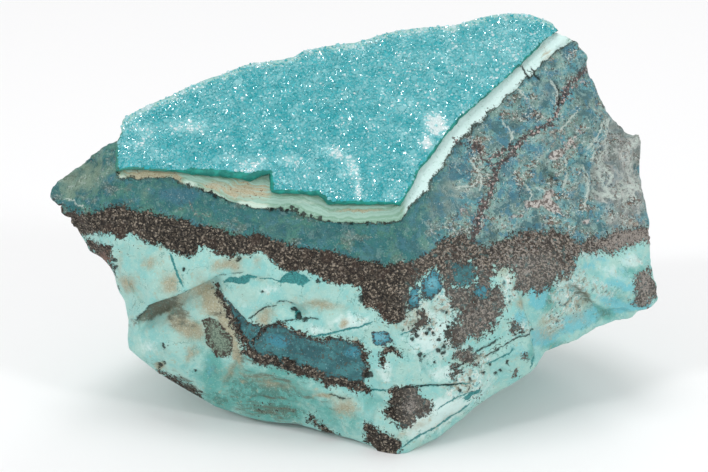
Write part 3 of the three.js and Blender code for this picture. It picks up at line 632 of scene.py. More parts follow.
def each_spot(points, spots):
    """One soft spot after another: full strength in the middle, fading outwards."""
    for x, y, half_width, half_height, turn, strength in spots:
        angle = math.radians(turn)
        offset = points - (x, y)
        along = offset[:, 0] * math.cos(angle) + offset[:, 1] * math.sin(angle)
        beside = offset[:, 1] * math.cos(angle) - offset[:, 0] * math.sin(angle)
        yield strength * np.exp(-((along / half_width) ** 2) - (beside / half_height) ** 2)


def spot_strength(points, spots):
    """The strongest of the soft spots at each point."""
    return np.max(list(each_spot(points, spots)), axis=0)


def spot_sum(points, spots):
    return sum(each_spot(points, spots))


def smooth_rise(value, low, high):
    share = np.clip((value - low) / (high - low), 0, 1)
    return share * share * (3 - 2 * share)


def ripple(points, size, seed, octaves=3):
    """Smooth noise with features of a size in mm."""
    shift = Vector((seed, 2 * seed, -seed))
    return np.array([
        noise.fractal(Vector(p) / size + shift, 0.9, 2.1, octaves, noise_basis="PERLIN_ORIGINAL")
        for p in points[:, :3].tolist()
    ])


def chips(points, size, seed):
    """Shallow fracture scoops with creases between them, each leaning its own way."""
    shift = Vector((seed, seed, seed))
    heights = []
    for p in points[:, :3].tolist():
        place = Vector(p) / size + shift
        lowest = math.inf
        for centre in noise.voronoi(place)[1]:
            offset = place - centre
            lowest = min(lowest, noise.noise_vector(centre * 7.3).dot(offset) + 0.5 * offset.length_squared)
        heights.append(lowest)
    return np.array(heights)


# Meshes as arrays


def cad_mesh(node):
    """A node's corner points in mm, each one once, and its triangles."""
    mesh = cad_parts[node].data
    points = np.zeros(len(mesh.vertices) * 3)
    mesh.vertices.foreach_get("co", points)
    mesh.calc_loop_triangles()
    corners = np.zeros(len(mesh.loop_triangles) * 3, int)
    mesh.loop_triangles.foreach_get("vertices", corners)
    keys = np.round(points.reshape(-1, 3) / METRES, 3)
    unique, index = np.unique(keys, axis=0, return_inverse=True)
    triangles = index.reshape(-1)[corners].reshape(-1, 3)
    real = (triangles[:, 0] != triangles[:, 1]) & (triangles[:, 1] != triangles[:, 2])
    return unique, triangles[real & (triangles[:, 2] != triangles[:, 0])]


def point_normals(points, triangles):
    a, b, c = (points[triangles[:, k], :3] for k in range(3))
    faces = np.cross(b - a, c - a)
    normals = np.zeros((len(points), 3))
    for k in range(3):
        for axis in range(3):
            normals[:, axis] += np.bincount(triangles[:, k], faces[:, axis], len(points))
    return normals / np.maximum(np.linalg.norm(normals, axis=1, keepdims=True), 1e-12)


def split_triangles(points, triangles, middles):
    """Cuts each triangle at those of its three middles that exist."""
    cut = middles >= 0
    count = cut.sum(axis=1)
    parts = [triangles[count == 0]]
    (a, b, c), (ab, bc, ca) = triangles[count == 3].T, middles[count == 3].T
    parts += [np.stack(t, axis=1) for t in ((a, ab, ca), (ab, b, bc), (ca, bc, c), (ab, bc, ca))]
    for turn in range(3):
        corners, halves, marks = (np.roll(x, -turn, axis=1) for x in (triangles, middles, cut))
        one = (count == 1) & marks[:, 0]
        (a, b, c), ab = corners[one].T, halves[one, 0]
        parts += [np.stack(t, axis=1) for t in ((a, ab, c), (ab, b, c))]
        two = (count == 2) & marks[:, 0] & marks[:, 1]
        (a, b, c), (ab, bc) = corners[two].T, halves[two, :2].T
        short = np.linalg.norm(points[a, :3] - points[bc, :3], axis=1) < np.linalg.norm(
            points[ab, :3] - points[c, :3], axis=1
        )
        parts.append(np.stack((ab, b, bc), axis=1))
        parts.append(np.stack((a, ab, np.where(short, bc, c)), axis=1))
        parts.append(np.stack((np.where(short, a, ab), bc, c), axis=1))
    return np.concatenate(parts)


def edges_of(triangles):
    """Each edge once, and for each triangle's three edges in turn, which one it is."""
    ends = np.sort(triangles[:, [0, 1, 1, 2, 2, 0]].reshape(-1, 2), axis=1)
    keys, index = np.unique(ends[:, 0] * (ends.max() + 1) + ends[:, 1], return_inverse=True)
    return np.stack([keys // (ends.max() + 1), keys % (ends.max() + 1)], axis=1), index.reshape(-1, 3)


def refine(points, triangles, longest, shortest, rounds=9):
    """Halves every edge that is longer than is wanted at its middle, until none is left."""
    for _ in range(rounds):
        edges, index = edges_of(triangles)
        halves = points[edges].mean(axis=1)
        length = np.linalg.norm(points[edges[:, 0], :3] - points[edges[:, 1], :3], axis=1)
        long = length > shortest
        long[long] = length[long] > longest(halves[long])
        if not long.any():
            break
        number = np.full(len(edges), -1)
        number[long] = len(points) + np.arange(long.sum())
        points = np.concatenate([points, halves[long]])
        triangles = split_triangles(points, triangles, number[index])
    return points, triangles


def relax(points, triangles, softness, rounds):
    """Moves each point towards the middle of its neighbours, by its softness."""
    edges, _ = edges_of(triangles)
    ends = np.concatenate([edges, edges[:, ::-1]])
    degree = np.bincount(ends[:, 0], minlength=len(points))
    points = points.copy()
    for _ in range(rounds):
        for axis in range(3):
            mean = np.bincount(ends[:, 0], points[ends[:, 1], axis], len(points)) / degree
            points[:, axis] += (mean - points[:, axis]) * softness
    return points


def add_object(name, data):
    thing = bpy.data.objects.new(name, data)
    bpy.context.scene.collection.objects.link(thing)
    return thing


def make_piece(name, points, triangles, fields, material, node, smooth=True):
    """A mesh in metres that stands for a CAD node, with one number per point for each field."""
    mesh = bpy.data.meshes.new(name)
    mesh.from_pydata((points[:, :3] * METRES).tolist(), [], triangles.tolist())
    mesh.polygons.foreach_set("use_smooth", [smooth] * len(mesh.polygons))
    for field, values in fields.items():
        attribute = mesh.attributes.new(field, "FLOAT", "POINT")
        attribute.data.foreach_set("value", np.asarray(values, np.float32))
    mesh.materials.append(material)
    mesh.update()
    piece = add_object(name, mesh)
    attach(piece, "root")
    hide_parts(node)


# Materials


def srgb(red, green, blue):
    """A colour as it looks on a screen, from 0 to 255, as the light that a surface gives back."""
    levels = [v / 255 for v in (red, green, blue)]
    return tuple(v / 12.92 if v <= 0.04045 else ((v + 0.055) / 1.055) ** 2.4 for v in levels)


class Finish:
    """A material built in short steps. Each step returns an output for the next. Sizes are in mm."""

    def __init__(self, name):
        self.material = bpy.data.materials.new(name)
        self.material.use_nodes = True
        self.nodes = self.material.node_tree.nodes
        self.links = self.material.node_tree.links
        self.surface = self.nodes["Principled BSDF"]
        self.place = self.node("TexCoord", "Object", {})

    def feed(self, socket, value):
        if isinstance(value, bpy.types.NodeSocket):
            self.links.new(value, socket)
        elif isinstance(value, tuple):
            socket.default_value = (*value, 1)[: len(socket.default_value)]
        else:
            socket.default_value = value

    def node(self, kind, output, inputs, **settings):
        """Adds a node, sets it up, feeds its inputs and returns one of its outputs."""
        node = self.nodes.new("ShaderNode" + kind)
        for name, value in settings.items():
            setattr(node, name, value)
        for socket, value in inputs.items():
            self.feed(node.inputs[socket], value)
        return node.outputs[output]

    def field(self, name):
        """The number that the mesh holds for each of its points."""
        return self.node("Attribute", "Fac", {}, attribute_name=name)

    def noise(self, size, detail=3.0, roughness=0.6, twist=0.0, shift=0.0, squeeze=(1, 1, 1)):
        place = self.place
        if shift or squeeze != (1, 1, 1):
            moved = (shift * size * METRES,) * 3
            place = self.node("Mapping", "Vector", {"Vector": place, "Scale": squeeze, "Location": moved})
        shape = {"Detail": detail, "Roughness": roughness, "Distortion": twist}
        return self.node("TexNoise", "Fac", {"Vector": place, "Scale": 1 / (size * METRES)} | shape)

    def layers(self, value, size, detail):
        """Noise in one direction only, along a value."""
        inputs = {"W": value, "Scale": 1 / size, "Detail": detail}
        return self.node("TexNoise", "Fac", inputs, noise_dimensions="1D")

    def grains(self, size):
        """Grains packed together, each with a number of its own from 0 to 1."""
        colour = self.node("TexVoronoi", "Color", {"Vector": self.place, "Scale": 1 / (size * METRES)})
        return self.node("SeparateColor", "Red", {"Color": colour})

    def flecks(self, size, threshold, shift, more=0, softness=0.05):
        """Crisp flecks, as many as the threshold leaves, and more of them where a field is high."""
        value = self.add(self.noise(size, 2.5, 0.65, shift=shift), more)
        return self.rise(value, threshold, threshold + softness)

    def threads(self, size, width, shift, detail):
        """Thin wandering lines."""
        value = self.calc("ABSOLUTE", self.less(self.noise(size, detail, 0.6, shift=shift), 0.5))
        return self.rise(value, width, 0.3 * width)

    def line(self, name, wobble):
        """How deep inside a thin line a place lies, in mm."""
        gap = self.calc("ABSOLUTE", self.add(self.field(name + "_gap"), wobble))
        return self.less(self.both(self.field(name + "_width"), 0.5), gap)

    def calc(self, operation, a, b=0.0):
        return self.node("Math", 0, {0: a, 1: b}, operation=operation)

    def rise(self, value, low, high, top=1.0):
        """From 0 at low to top at high, smoothly. A low above the high falls instead."""
        inputs = {"Value": value, "From Min": low, "From Max": high, "To Max": top}
        return self.node("MapRange", "Result", inputs, interpolation_type="SMOOTHSTEP")

    def both(self, first, *others):
        for value in others:
            first = self.calc("MULTIPLY", first, value)
        return first

    def add(self, first, *others):
        for value in others:
            first = self.calc("ADD", first, value)
        return first

    def less(self, a, b):
        return self.calc("SUBTRACT", a, b)

    def swing(self, value, amount):
        """A noise turned into a value around zero, mostly within half the amount."""
        return self.both(self.less(value, 0.5), amount)

    def ragged(self, name, value, amount):
        """A field of the mesh made uneven by a noise."""
        return self.add(self.field(name), self.swing(value, amount))

    def mix(self, share, a, b):
        """Two colours mixed. Those given as three numbers are as they look on a screen."""
        a, b = (srgb(*tone) if isinstance(tone, tuple) else tone for tone in (a, b))
        return self.node("Mix", 2, {"Factor": share, 6: a, 7: b}, data_type="RGBA")

    def coats(self, colour, *coats):
        """Lays one coat after another over a colour, each given as its share and its tone."""
        for share, tone in coats:
            colour = self.mix(share, colour, tone)
        return colour

    def bump(self, height, depth):
        inputs = {"Height": height, "Strength": 1, "Distance": depth * METRES}
        return self.node("Bump", "Normal", inputs)

    def finish(self, colour, roughness, normal=None):
        self.feed(self.surface.inputs["Base Color"], colour)
        self.feed(self.surface.inputs["Roughness"], roughness)
        if normal is not None:
            self.links.new(normal, self.surface.inputs["Normal"])
        return self.material


def rubble_colour(s):
    """Crumbled stone, with every colour close together."""
    coarse = s.noise(1.1, 5, 0.7, shift=61)
    fine = s.noise(0.7, 4, 0.7, shift=67)
    return s.coats(
        s.mix(s.rise(coarse, 0.44, 0.4), (174, 206, 200), (216, 224, 218)),
        (s.rise(coarse, 0.52, 0.57, 0.9), (146, 150, 132)),
        (s.rise(fine, 0.55, 0.6, 0.9), (106, 172, 176)),
        (s.rise(fine, 0.44, 0.4, 0.8), (166, 150, 132)),
        (s.rise(s.both(coarse, fine), 0.3, 0.36, 0.9), (56, 56, 52)),
    )


def turquoise_colour(s, mottle, other, dust):
    """Pale turquoise, deeper, bluer or whiter in places, stained tan and peppered with dark specks. The
    olive murk is partly stain and partly painted shade under the ledges, and so is some of the tan.
    """
    small = s.noise(0.9, 5, 0.7, shift=71)
    sky = s.add(s.ragged("sky", other, 1.2), s.swing(small, 1.6))
    # Tan stain, and below the lower-left ledge also painted shade
    tan = s.ragged("tan", s.noise(1.8, 5, 0.7, shift=27), 1.8)
    tan_tone = s.mix(s.rise(dust, 0.4, 0.6), (150, 144, 118), (168, 163, 138))
    # Olive murk, partly stain and partly painted shade under the ledges
    murky = s.ragged("murky", s.noise(1.2, 5, 0.7, squeeze=(0.35, 1, 1.7)), 3.2)
    pepper = s.add(s.both(s.field("speckle"), 0.16), s.rise(s.field("brown"), -1.0, 0, 0.17))
    return s.coats(
        s.mix(s.rise(mottle, 0.38, 0.62), (161, 203, 194), (135, 196, 192)),
        (s.rise(other, 0.5, 0.62, 0.5), (164, 207, 200)),
        (s.rise(s.ragged("pale", small, 1.6), 0.4, 1.0, 0.9), (206, 229, 225)),
        (s.rise(s.ragged("deep", mottle, 1.5), 0.2, 0.9), (94, 166, 158)),
        (s.rise(s.both(s.field("deep"), small), 0.42, 0.62, 0.85), (70, 118, 108)),
        (s.rise(sky, 0.3, 0.9, 0.9), (106, 186, 196)),
        (s.rise(tan, 0, 1.3, 0.92), tan_tone),
        (s.both(s.flecks(0.9, 0.6, 21, s.both(tan, 0.05), 0.12), 0.5), (170, 164, 134)),
        (s.rise(s.ragged("rubble", small, 1.6), 0.35, 0.75, 0.9), rubble_colour(s)),
        # partly painted shade under the ledges
        (s.rise(murky, 0.4, 1.2, 0.85), (94, 98, 82)),
        (s.rise(dust, 0.58, 0.72, 0.4), (208, 230, 220)),
        (s.both(s.threads(6, 0.007, 31, 5), s.rise(other, 0.45, 0.55), 0.7), (84, 140, 134)),
        (s.flecks(0.42, 0.72, 12, pepper, 0.03), (54, 58, 52)),
    )


def teal_colour(s, mottle, other, grain, dust, blue, rust):
    """Dark teal rock, blue, olive and grey in places. The right-hand face is broken and paler. Its tiniest
    near-white flecks are painted glints, and its grey folds carry painted light and shade in part.
    """
    broken = s.field("broken")
    patchy = s.noise(2.6, 4, 0.6, shift=33, squeeze=(0.7, 1, 1.2))
    spotty = s.noise(1.5, 4, 0.6, shift=37)
    folds = s.noise(2.2, 4, 0.6, shift=91, squeeze=(1.4, 1.4, 0.5))
    light = s.coats(
        s.mix(s.rise(mottle, 0.42, 0.56), (86, 150, 160), (126, 164, 156)),
        (s.rise(other, 0.49, 0.57, 0.85), (100, 126, 120)),
    )
    faded = s.rise(s.ragged("faded", mottle, 1.8), 0.3, 1.1)
    folded = s.both(s.rise(s.field("faded"), 0.4, 1.2), broken)
    strong = s.less(s.add(s.both(broken, 0.45), 0.35), s.both(faded, 0.6))
    more = s.add(s.both(broken, 0.03), s.swing(patchy, 0.7))
    fleck = s.add(s.both(broken, 0.5), 0.3)
    # Pale lines along the fold ridges, partly painted highlights
    pale_ridges_and_highlights = s.both(s.threads(4.5, 0.03, 83, 5), s.rise(s.field("faded"), 0.5, 1.2), broken, 0.65)
    fractured = s.rise(s.add(broken, s.swing(other, 2)), 0.2, 0.8)
    streak = s.line("streak", s.add(s.swing(grain, 1.2), s.swing(spotty, 1.0)))
    gravel = s.mix(s.rise(grain, 0.45, 0.54), (98, 84, 78), (196, 190, 184))
    near_brown = s.rise(s.field("brown"), -1.4, 0, 0.2)
    return s.coats(
        s.mix(s.rise(mottle, 0.4, 0.58), (24, 94, 98), (64, 122, 110)),
        (s.rise(other, 0.48, 0.56, 0.7), (38, 110, 110)),
        (s.both(broken, 0.9), light),
        (s.both(faded, 0.9), s.mix(broken, (126, 148, 130), (148, 150, 147))),
        # Dark and pale bands on the grey folds: partly grey stone, partly painted shade in the troughs and
        # painted light on the crests.
        (s.both(s.rise(folds, 0.48, 0.42, 0.7), folded), (104, 112, 106)),
        (s.both(s.rise(folds, 0.55, 0.6, 0.65), folded), (184, 190, 184)),
        (s.both(s.rise(patchy, 0.46, 0.4), strong), (56, 98, 104)),
        (s.both(s.rise(patchy, 0.55, 0.61), strong), (104, 110, 94)),
        (s.both(s.rise(spotty, 0.54, 0.6), strong), (66, 124, 144)),
        (s.both(s.rise(spotty, 0.43, 0.38), strong, 0.65), (140, 172, 168)),
        (s.rise(blue, 0.4, 0.8, 0.75), (48, 106, 124)),
        (s.both(s.flecks(0.6, 0.64, 15, more), fleck, 0.8), (160, 184, 178)),
        (s.both(s.flecks(0.45, 0.62, 16, more), fleck), (40, 48, 46)),
        # Tiny near-white flecks: painted glints of small quartz grains.
        (s.both(s.flecks(0.3, 0.66, 17, more), fleck), (206, 216, 210)),
        (s.both(s.flecks(0.4, 0.66, 19, more), broken, 0.8), (110, 84, 70)),
        # Pale lines along the fold ridges: partly pale stone, partly painted highlights.
        (pale_ridges_and_highlights, (194, 202, 196)),
        (s.both(s.threads(3.5, 0.012, 18, 6), fractured, 0.4), (182, 198, 190)),
        (s.rise(rust, 0.5, 1.1, 0.75), (104, 86, 74)),
        (s.rise(s.less(rust, s.swing(grain, 3)), 0.9, 1.2, 0.7), (172, 168, 156)),
        (s.both(s.rise(streak, -0.16, 0.06), s.rise(grain, 0.3, 0.46, 0.85)), (188, 202, 194)),
        (s.rise(s.ragged("pink", spotty, 2.5), 0.5, 0.9, 0.9), gravel),
        (s.rise(dust, 0.42, 0.34, 0.5), (26, 54, 54)),
        (s.rise(dust, 0.6, 0.7, 0.25), (170, 186, 176)),
        (s.flecks(0.36, 0.74, 14, near_brown, 0.03), (40, 38, 34)),
    )


def lens_colour(s, mottle, grain, blue):
    """The dark blue stone that lies in the turquoise, with brown grains near its edge."""
    near_edge = s.rise(s.field("lens"), 0.9, 0.1, 0.18)
    return s.coats(
        s.mix(s.rise(mottle, 0.38, 0.6), (38, 90, 96), (62, 124, 128)),
        (s.rise(blue, 0.4, 0.9, 0.9), (56, 133, 150)),
        (s.rise(blue, 1.1, 1.6, 0.9), (100, 168, 182)),
        (s.both(s.flecks(0.3, 0.62, 24), 0.8), (122, 168, 174)),
        (s.both(s.flecks(0.6, 0.58, 25), 0.75), (72, 76, 66)),
        (s.both(s.flecks(0.32, 0.62, 26, near_edge), 0.9), (58, 50, 44)),
        (s.rise(grain, 0.42, 0.34, 0.6), (34, 62, 66)),
    )


def seam_colour(s, layer, dust):
    """The pale seam under the crystals, in thin layers, stained tan in front. On the right-hand face its
    pale tone carries painted light, lighter still towards the crust, against the shade there.
    """
    # Painted light: the seam's right-hand face is lighter than its own pale mint, and lighter still deeper
    # in, near the crust that shades it.
    side_tone_with_painted_light = s.mix(s.rise(s.field("seam"), 0.9, 2.2), (210, 236, 233), (224, 246, 244))
    tan_tone = s.mix(s.rise(dust, 0.4, 0.6), (168, 153, 122), (186, 176, 148))
    return s.coats(
        s.mix(s.rise(layer, 0.4, 0.6, 0.8), (158, 194, 180), (118, 160, 136)),
        (s.rise(s.field("seam_side"), 0.2, 0.8, 0.92), side_tone_with_painted_light),
        (s.both(s.flecks(0.5, 0.6, 41), 0.5), (160, 198, 186)),
        (s.rise(s.ragged("pale", layer, 1.4), 0.4, 1.0, 0.8), (204, 226, 212)),
        (s.rise(s.ragged("seam_tan", layer, 2.0), 0.3, 1.0, 0.85), tan_tone),
        (s.both(s.flecks(0.4, 0.62, 47), s.rise(s.field("seam_tan"), 0.3, 0.8)), (112, 88, 62)),
    )


def brown_colour(s, grains, other, dust, rust):
    """The brown band and patches, a mass of dark grains with a few paler ones."""
    broken, side = s.field("broken"), s.field("seam_side")
    clumps = s.noise(0.45, 3, 0.7, shift=53)
    paler = s.add(grains, s.both(broken, 0.1), s.swing(clumps, 1.2))
    pale = s.both(s.rise(clumps, 0.55, 0.6, 0.6), s.add(s.both(broken, 0.7), 0.3))
    low_down = s.rise(s.ragged("upper", clumps, 2), -1.5, -2.8, 0.2)
    faded = s.add(s.both(broken, 0.5), s.ragged("faded", dust, 3.5), s.swing(clumps, 4))
    return s.coats(
        s.mix(s.rise(grains, 0.1, 0.95), (24, 22, 19), (88, 80, 69)),
        (s.rise(paler, 0.84, 0.96, 0.85), (160, 149, 133)),
        (s.rise(clumps, 0.46, 0.4, 0.8), (20, 18, 15)),
        (pale, (152, 145, 134)),
        (s.both(s.flecks(0.7, 0.57, 54, s.swing(other, 0.3)), side, 0.6), (62, 112, 112)),
        (s.both(side, 0.08), (156, 150, 142)),
        (s.both(low_down, side), (132, 138, 134)),
        (s.rise(other, 0.5, 0.64, 0.6), (64, 50, 42)),
        (s.rise(faded, 0.6, 1.5, 0.75), (158, 152, 146)),
        (s.rise(rust, 0.7, 1.2, 0.8), (126, 96, 84)),
        (s.rise(dust, 0.4, 0.32, 0.7), (24, 22, 20)),
    )


def brown_vein_colour(s, grain):
    """The thin veins on the right, dark with pale pink grains."""
    pebbles = s.grains(0.3)
    return s.coats(
        s.mix(s.rise(pebbles, 0.2, 0.8), (42, 34, 34), (84, 68, 66)),
        (s.rise(pebbles, 0.85, 0.9, 0.9), (186, 168, 162)),
        (s.rise(grain, 0.56, 0.64, 0.6), (84, 104, 102)),
    )


def grey_patch(s, colour, wander, dust):
    """Grey-green stone with brown grains along its rim."""
    inside = s.add(s.field("grey"), s.both(wander, 0.5))
    body = s.mix(s.rise(dust, 0.4, 0.6), (84, 104, 90), (128, 148, 130))
    rim = s.both(s.rise(inside, -0.25, 0), s.rise(inside, 1.3, 0.3), s.flecks(0.4, 0.46, 63))
    return s.coats(colour, (s.rise(inside, -0.05, 0.08), body), (rim, (56, 46, 38)))


def rock_finish():
    s = Finish("layered_copper_ore")
    mottle = s.noise(2.4, 5, 0.65, twist=0.4)
    other = s.noise(3.1, 5, 0.7, shift=9)
    grain = s.noise(0.5, 3, 0.65)
    dust = s.noise(0.2, 2, 0.6)
    grains = s.grains(0.2)
    wander = s.swing(s.noise(1.2, 5, 0.75, shift=3), 2.4)
    fine_wander = s.swing(s.noise(0.4, 3, 0.7, shift=5), 1.0)
    slight = s.swing(grain, 0.5)
    blue = s.ragged("blue", other, 1.5)
    rust = s.ragged("rust", s.noise(0.7, 3, 0.7, shift=7), 2.4)

    # How deep a place lies inside each kind of stone, in mm
    upper = s.add(s.field("upper"), wander)
    lens = s.add(s.field("lens"), s.both(wander, 0.5), fine_wander)
    vein = s.calc("MAXIMUM", s.add(s.field("vein"), slight), s.line("teal", slight))
    seam = s.add(s.field("seam"), s.both(wander, 0.4))
    brown_vein = s.add(s.field("brown_vein"), s.both(wander, 0.9), s.both(fine_wander, 3.2))
    crumbled = s.add(1, s.both(s.field("broken"), s.rise(s.field("upper"), 0, -1), 0.9))
    brown = s.add(s.field("brown"), s.both(s.add(wander, s.both(fine_wander, 1.4)), crumbled))
    is_brown = s.rise(brown, -0.06, 0.1)
    dot = s.add(s.field("dot"), s.both(fine_wander, 0.9), s.both(wander, 0.12))
    closed = s.rise(wander, 0, 0.4, 0.2)
    # Dark dots and cracks; two of the crack lines are painted shadow under ledges.
    crack = s.calc("MAXIMUM", dot, s.less(s.line("crack", s.swing(grain, 0.7)), closed))

    layer = s.layers(s.ragged("seam", mottle, 0.4), 0.4, 3)
    above = s.rise(s.field("upper"), 0.5, 1.0)
    # The thin dark line just outside the seam's edge is painted shadow under the seam's small ledge. The
    # beads beside it are dark dendrite dots.
    rim = s.both(s.rise(seam, -0.25, -0.05), s.rise(seam, 0.16, 0.0), s.rise(dust, 0.4, 0.5), above)
    beads = s.both(s.rise(seam, -0.5, -0.1), s.rise(seam, 0.35, 0.1), s.flecks(0.42, 0.55, 44), above)
    vein_tone = s.mix(s.rise(dust, 0.4, 0.6), (8, 104, 106), (40, 136, 136))
    colour = s.coats(
        turquoise_colour(s, mottle, other, dust),
        (s.rise(upper, -0.1, 0.1), teal_colour(s, mottle, other, grain, dust, blue, rust)),
        (s.rise(lens, -0.08, 0.08), lens_colour(s, mottle, grain, blue)),
        (s.rise(vein, -0.05, 0.07, 0.95), vein_tone),
    )
    colour = s.coats(
        grey_patch(s, colour, wander, dust),
        (s.rise(seam, -0.04, 0.04), seam_colour(s, layer, dust)),
        # painted shadow along the seam's edge
        (rim, (54, 66, 56)),
        (beads, (34, 46, 38)),
        (s.rise(brown_vein, 0, 0.14, 0.95), brown_vein_colour(s, grain)),
        (is_brown, brown_colour(s, grains, other, dust, rust)),
        # dark cracks and dots, with painted shadow lines under two ledges
        (s.rise(crack, -0.06, 0.06, 0.92), (40, 48, 44)),
    )

    grit = s.add(s.both(grain, 0.7), s.both(dust, 0.3), s.both(grains, is_brown))
    height = s.less(grit, s.rise(crack, -0.1, 0.1))
    s.surface.inputs["Specular IOR Level"].default_value = 0.4
    return s.finish(colour, s.add(s.both(is_brown, 0.3), 0.5), s.bump(height, 0.2))


def crust_finish():
    """The teal chrysocolla that the crystals stand on, dark along its broken edge."""
    s = Finish("teal_crust")
    mottle = s.noise(1.6, 4)
    grain = s.noise(0.35, 3)
    milky, grey = s.field("milky"), s.field("side_grey")
    dark = s.coats(
        s.mix(s.rise(mottle, 0.42, 0.6), (6, 112, 102), (26, 144, 130)),
        (s.rise(grey, 0.2, 0.8, 0.7), (66, 136, 122)),
        (s.both(s.flecks(0.35, 0.58, 71), grey, 0.8), (66, 72, 58)),
        (s.rise(s.ragged("foot", grain, 0.8), 0.5, 0.7), (170, 140, 104)),
    )
    colour = s.coats(
        s.mix(s.rise(mottle, 0.35, 0.65), (34, 150, 158), (60, 174, 182)),
        (s.rise(milky, 0.1, 0.9, 0.8), (160, 208, 210)),
        (s.rise(milky, 1.0, 1.7, 0.9), (214, 226, 224)),
        (s.rise(s.field("rim"), 0.2, 0.8, 0.85), (160, 200, 192)),
        (s.rise(s.ragged("side", grain, 0.6), 0.4, 0.6), dark),
    )
    s.surface.inputs["Specular IOR Level"].default_value = 0.3
    return s.finish(colour, 0.45, s.bump(grain, 0.1))


QUARTZ_IOR = 1.544


def crystal_finish(name, transmission, dull, bright):
    """Quartz that takes its colour from the crust beneath. Milky crystals let less light through."""
    s = Finish(name)
    s.surface.inputs["IOR"].default_value = QUARTZ_IOR
    s.surface.inputs["Specular IOR Level"].default_value = 1
    s.surface.inputs["Transmission Weight"].default_value = transmission
    return s.finish(s.mix(s.field("tone"), dull, bright), 0.05)


# The rock


def rock_fields(points, front):
    """What each point of the rock is made of. On the front it follows the outlines, and on the
    other sides the layers run on through the stone."""
    wobble = np.stack([ripple(points, 1.6, 40.1), ripple(points, 1.6, 50.3)], axis=1)
    view = in_view(points) + WOBBLE * wobble
    straight = in_view(points) + LINE_WOBBLE * wobble
    broad, patchy = ripple(points, 9, 4.4), ripple(points, 4.5, 8.2)
    below_druse = -(points[:, :3] - DRUSE_ORIGIN) @ DRUSE_NORMAL
    above_band = (points[:, :3] - BAND_ORIGIN) @ BAND_NORMAL + 1.6 * broad

    def join(on_front, elsewhere):
        return on_front * front + elsewhere * (1 - front)

    brown = np.maximum(patch_depth(view, BROWN_PATCHES), stroke_depth(view, BROWN_STROKES))
    brown_behind = np.maximum(BAND_THICKNESS / 2 - np.abs(above_band), (patchy - 0.5) * 7)
    fields = {
        "upper": join(patch_depth(view, [ABOVE_BAND]) + 1.2, above_band),
        "brown": join(np.minimum(brown, -patch_depth(view, BROWN_GAPS)), brown_behind),
        "brown_vein": join(stroke_depth(view, BROWN_VEINS), (np.abs(patchy) < 0.03) * 0.5 - 0.4),
        "seam": join(patch_depth(view, [SEAM]), SEAM_THICKNESS - below_druse + 0.9 * broad),
        "seam_side": join(smooth_rise(view[:, 0], 395, 415), 0.3),
        "seam_tan": spot_strength(view, SEAM_TAN_SPOTS),
        "broken": join(smooth_rise(view[:, 0], 402, 480), 0.7),
        "lens": join(patch_depth(view, BLUE_LENSES), OUTSIDE),
        "vein": join(patch_depth(view, TEAL_LENSES), OUTSIDE),
        "grey": join(patch_depth(view, GREY_PATCHES), OUTSIDE),
        "dot": join(dot_depth(view, DARK_DOTS), OUTSIDE),
    }
    for name, strokes in (("crack", DARK_CRACKS_AND_LEDGE_SHADOWS), ("teal", TEAL_STROKES), ("streak", PALE_STREAKS)):
        gap, width = thin_lines(straight, strokes)
        fields[name + "_gap"] = join(gap, -OUTSIDE)
        fields[name + "_width"] = join(width, OUTSIDE)
    soft = {
        "pink": (PINK_SPOTS, 0),
        "rubble": (RUBBLE_SPOTS, np.clip(-patchy, 0, 0.5)),
        "tan": (TAN_STAIN_AND_SHADE_SPOTS, np.clip(ripple(points, 6, 15.1) * 1.6, 0, 1)),
        "deep": (DEEP_SPOTS, np.clip(ripple(points, 8, 21.7) * 1.8 + 0.35, 0, 1.2)),
        "blue": (BLUE_SPOTS, np.clip(broad * 2, 0, 1)),
        "faded": (FADED_SPOTS, 0.5 + broad),
        "pale": (PALE_SPOTS, np.clip(patchy, 0, 1)),
        "sky": (SKY_SPOTS, np.clip(-broad, 0, 0.6)),
        "murky": (MURK_AND_SHADE_SPOTS, 0.2),
        "rust": (RUST_SPOTS, np.clip(ripple(points, 5, 33.3) * 1.5, 0, 0.8)),
        "speckle": (SPECKLE_SPOTS, np.clip(-patchy * 2, 0, 0.8)),
    }
    for name, (spots, elsewhere) in soft.items():
        fields[name] = join(spot_strength(view, spots), elsewhere)
    return fields


# Stone that lies lower than the rest: its field, from where to where it sinks, and how deep in mm
RECESSES = [
    ("lens", -0.1, 0.3, 0.15), ("dot", -0.2, 0.1, 0.28), ("vein", -0.15, 0.1, 0.16),
    ("brown_vein", -0.3, 0.2, 0.12),
]
# Lines that are cut in or stand out, and how far in mm
LINE_HEIGHTS = [("crack", -0.25), ("teal", -0.1), ("streak", 0.15)]


def rock_relief(points, fields):
    """How far each point stands proud of the rough stone, in mm."""
    is_brown = smooth_rise(fields["brown"], -0.1, 0.2)
    turquoise = smooth_rise(-fields["upper"], 0, 1) * (1 - is_brown)
    rough = 0.2 * ripple(points, 3.2, 1.3) + 1.8 * chips(points, 6.5, 2.2)
    rough += (0.4 + 0.4 * fields["broken"]) * chips(points, 2.3, 5.2)
    upright = points[:, :3] * (1.4, 1.4, 0.5)
    rough += 0.35 * fields["broken"] * smooth_rise(fields["faded"], 0.4, 1.2) * ripple(upright, 3, 77.7)
    fine = ripple(points, 0.9, 6.1, 4)
    relief = rough * (1 - 0.3 * turquoise) + fine * (0.05 + 0.13 * is_brown) - 0.1 * is_brown
    for name, low, high, depth in RECESSES:
        relief -= depth * smooth_rise(fields[name], low, high)
    for name, height in LINE_HEIGHTS:
        depth = fields[name + "_width"] / 2 - np.abs(fields[name + "_gap"])
        relief += height * smooth_rise(depth, -0.25, 0.05)
    return relief


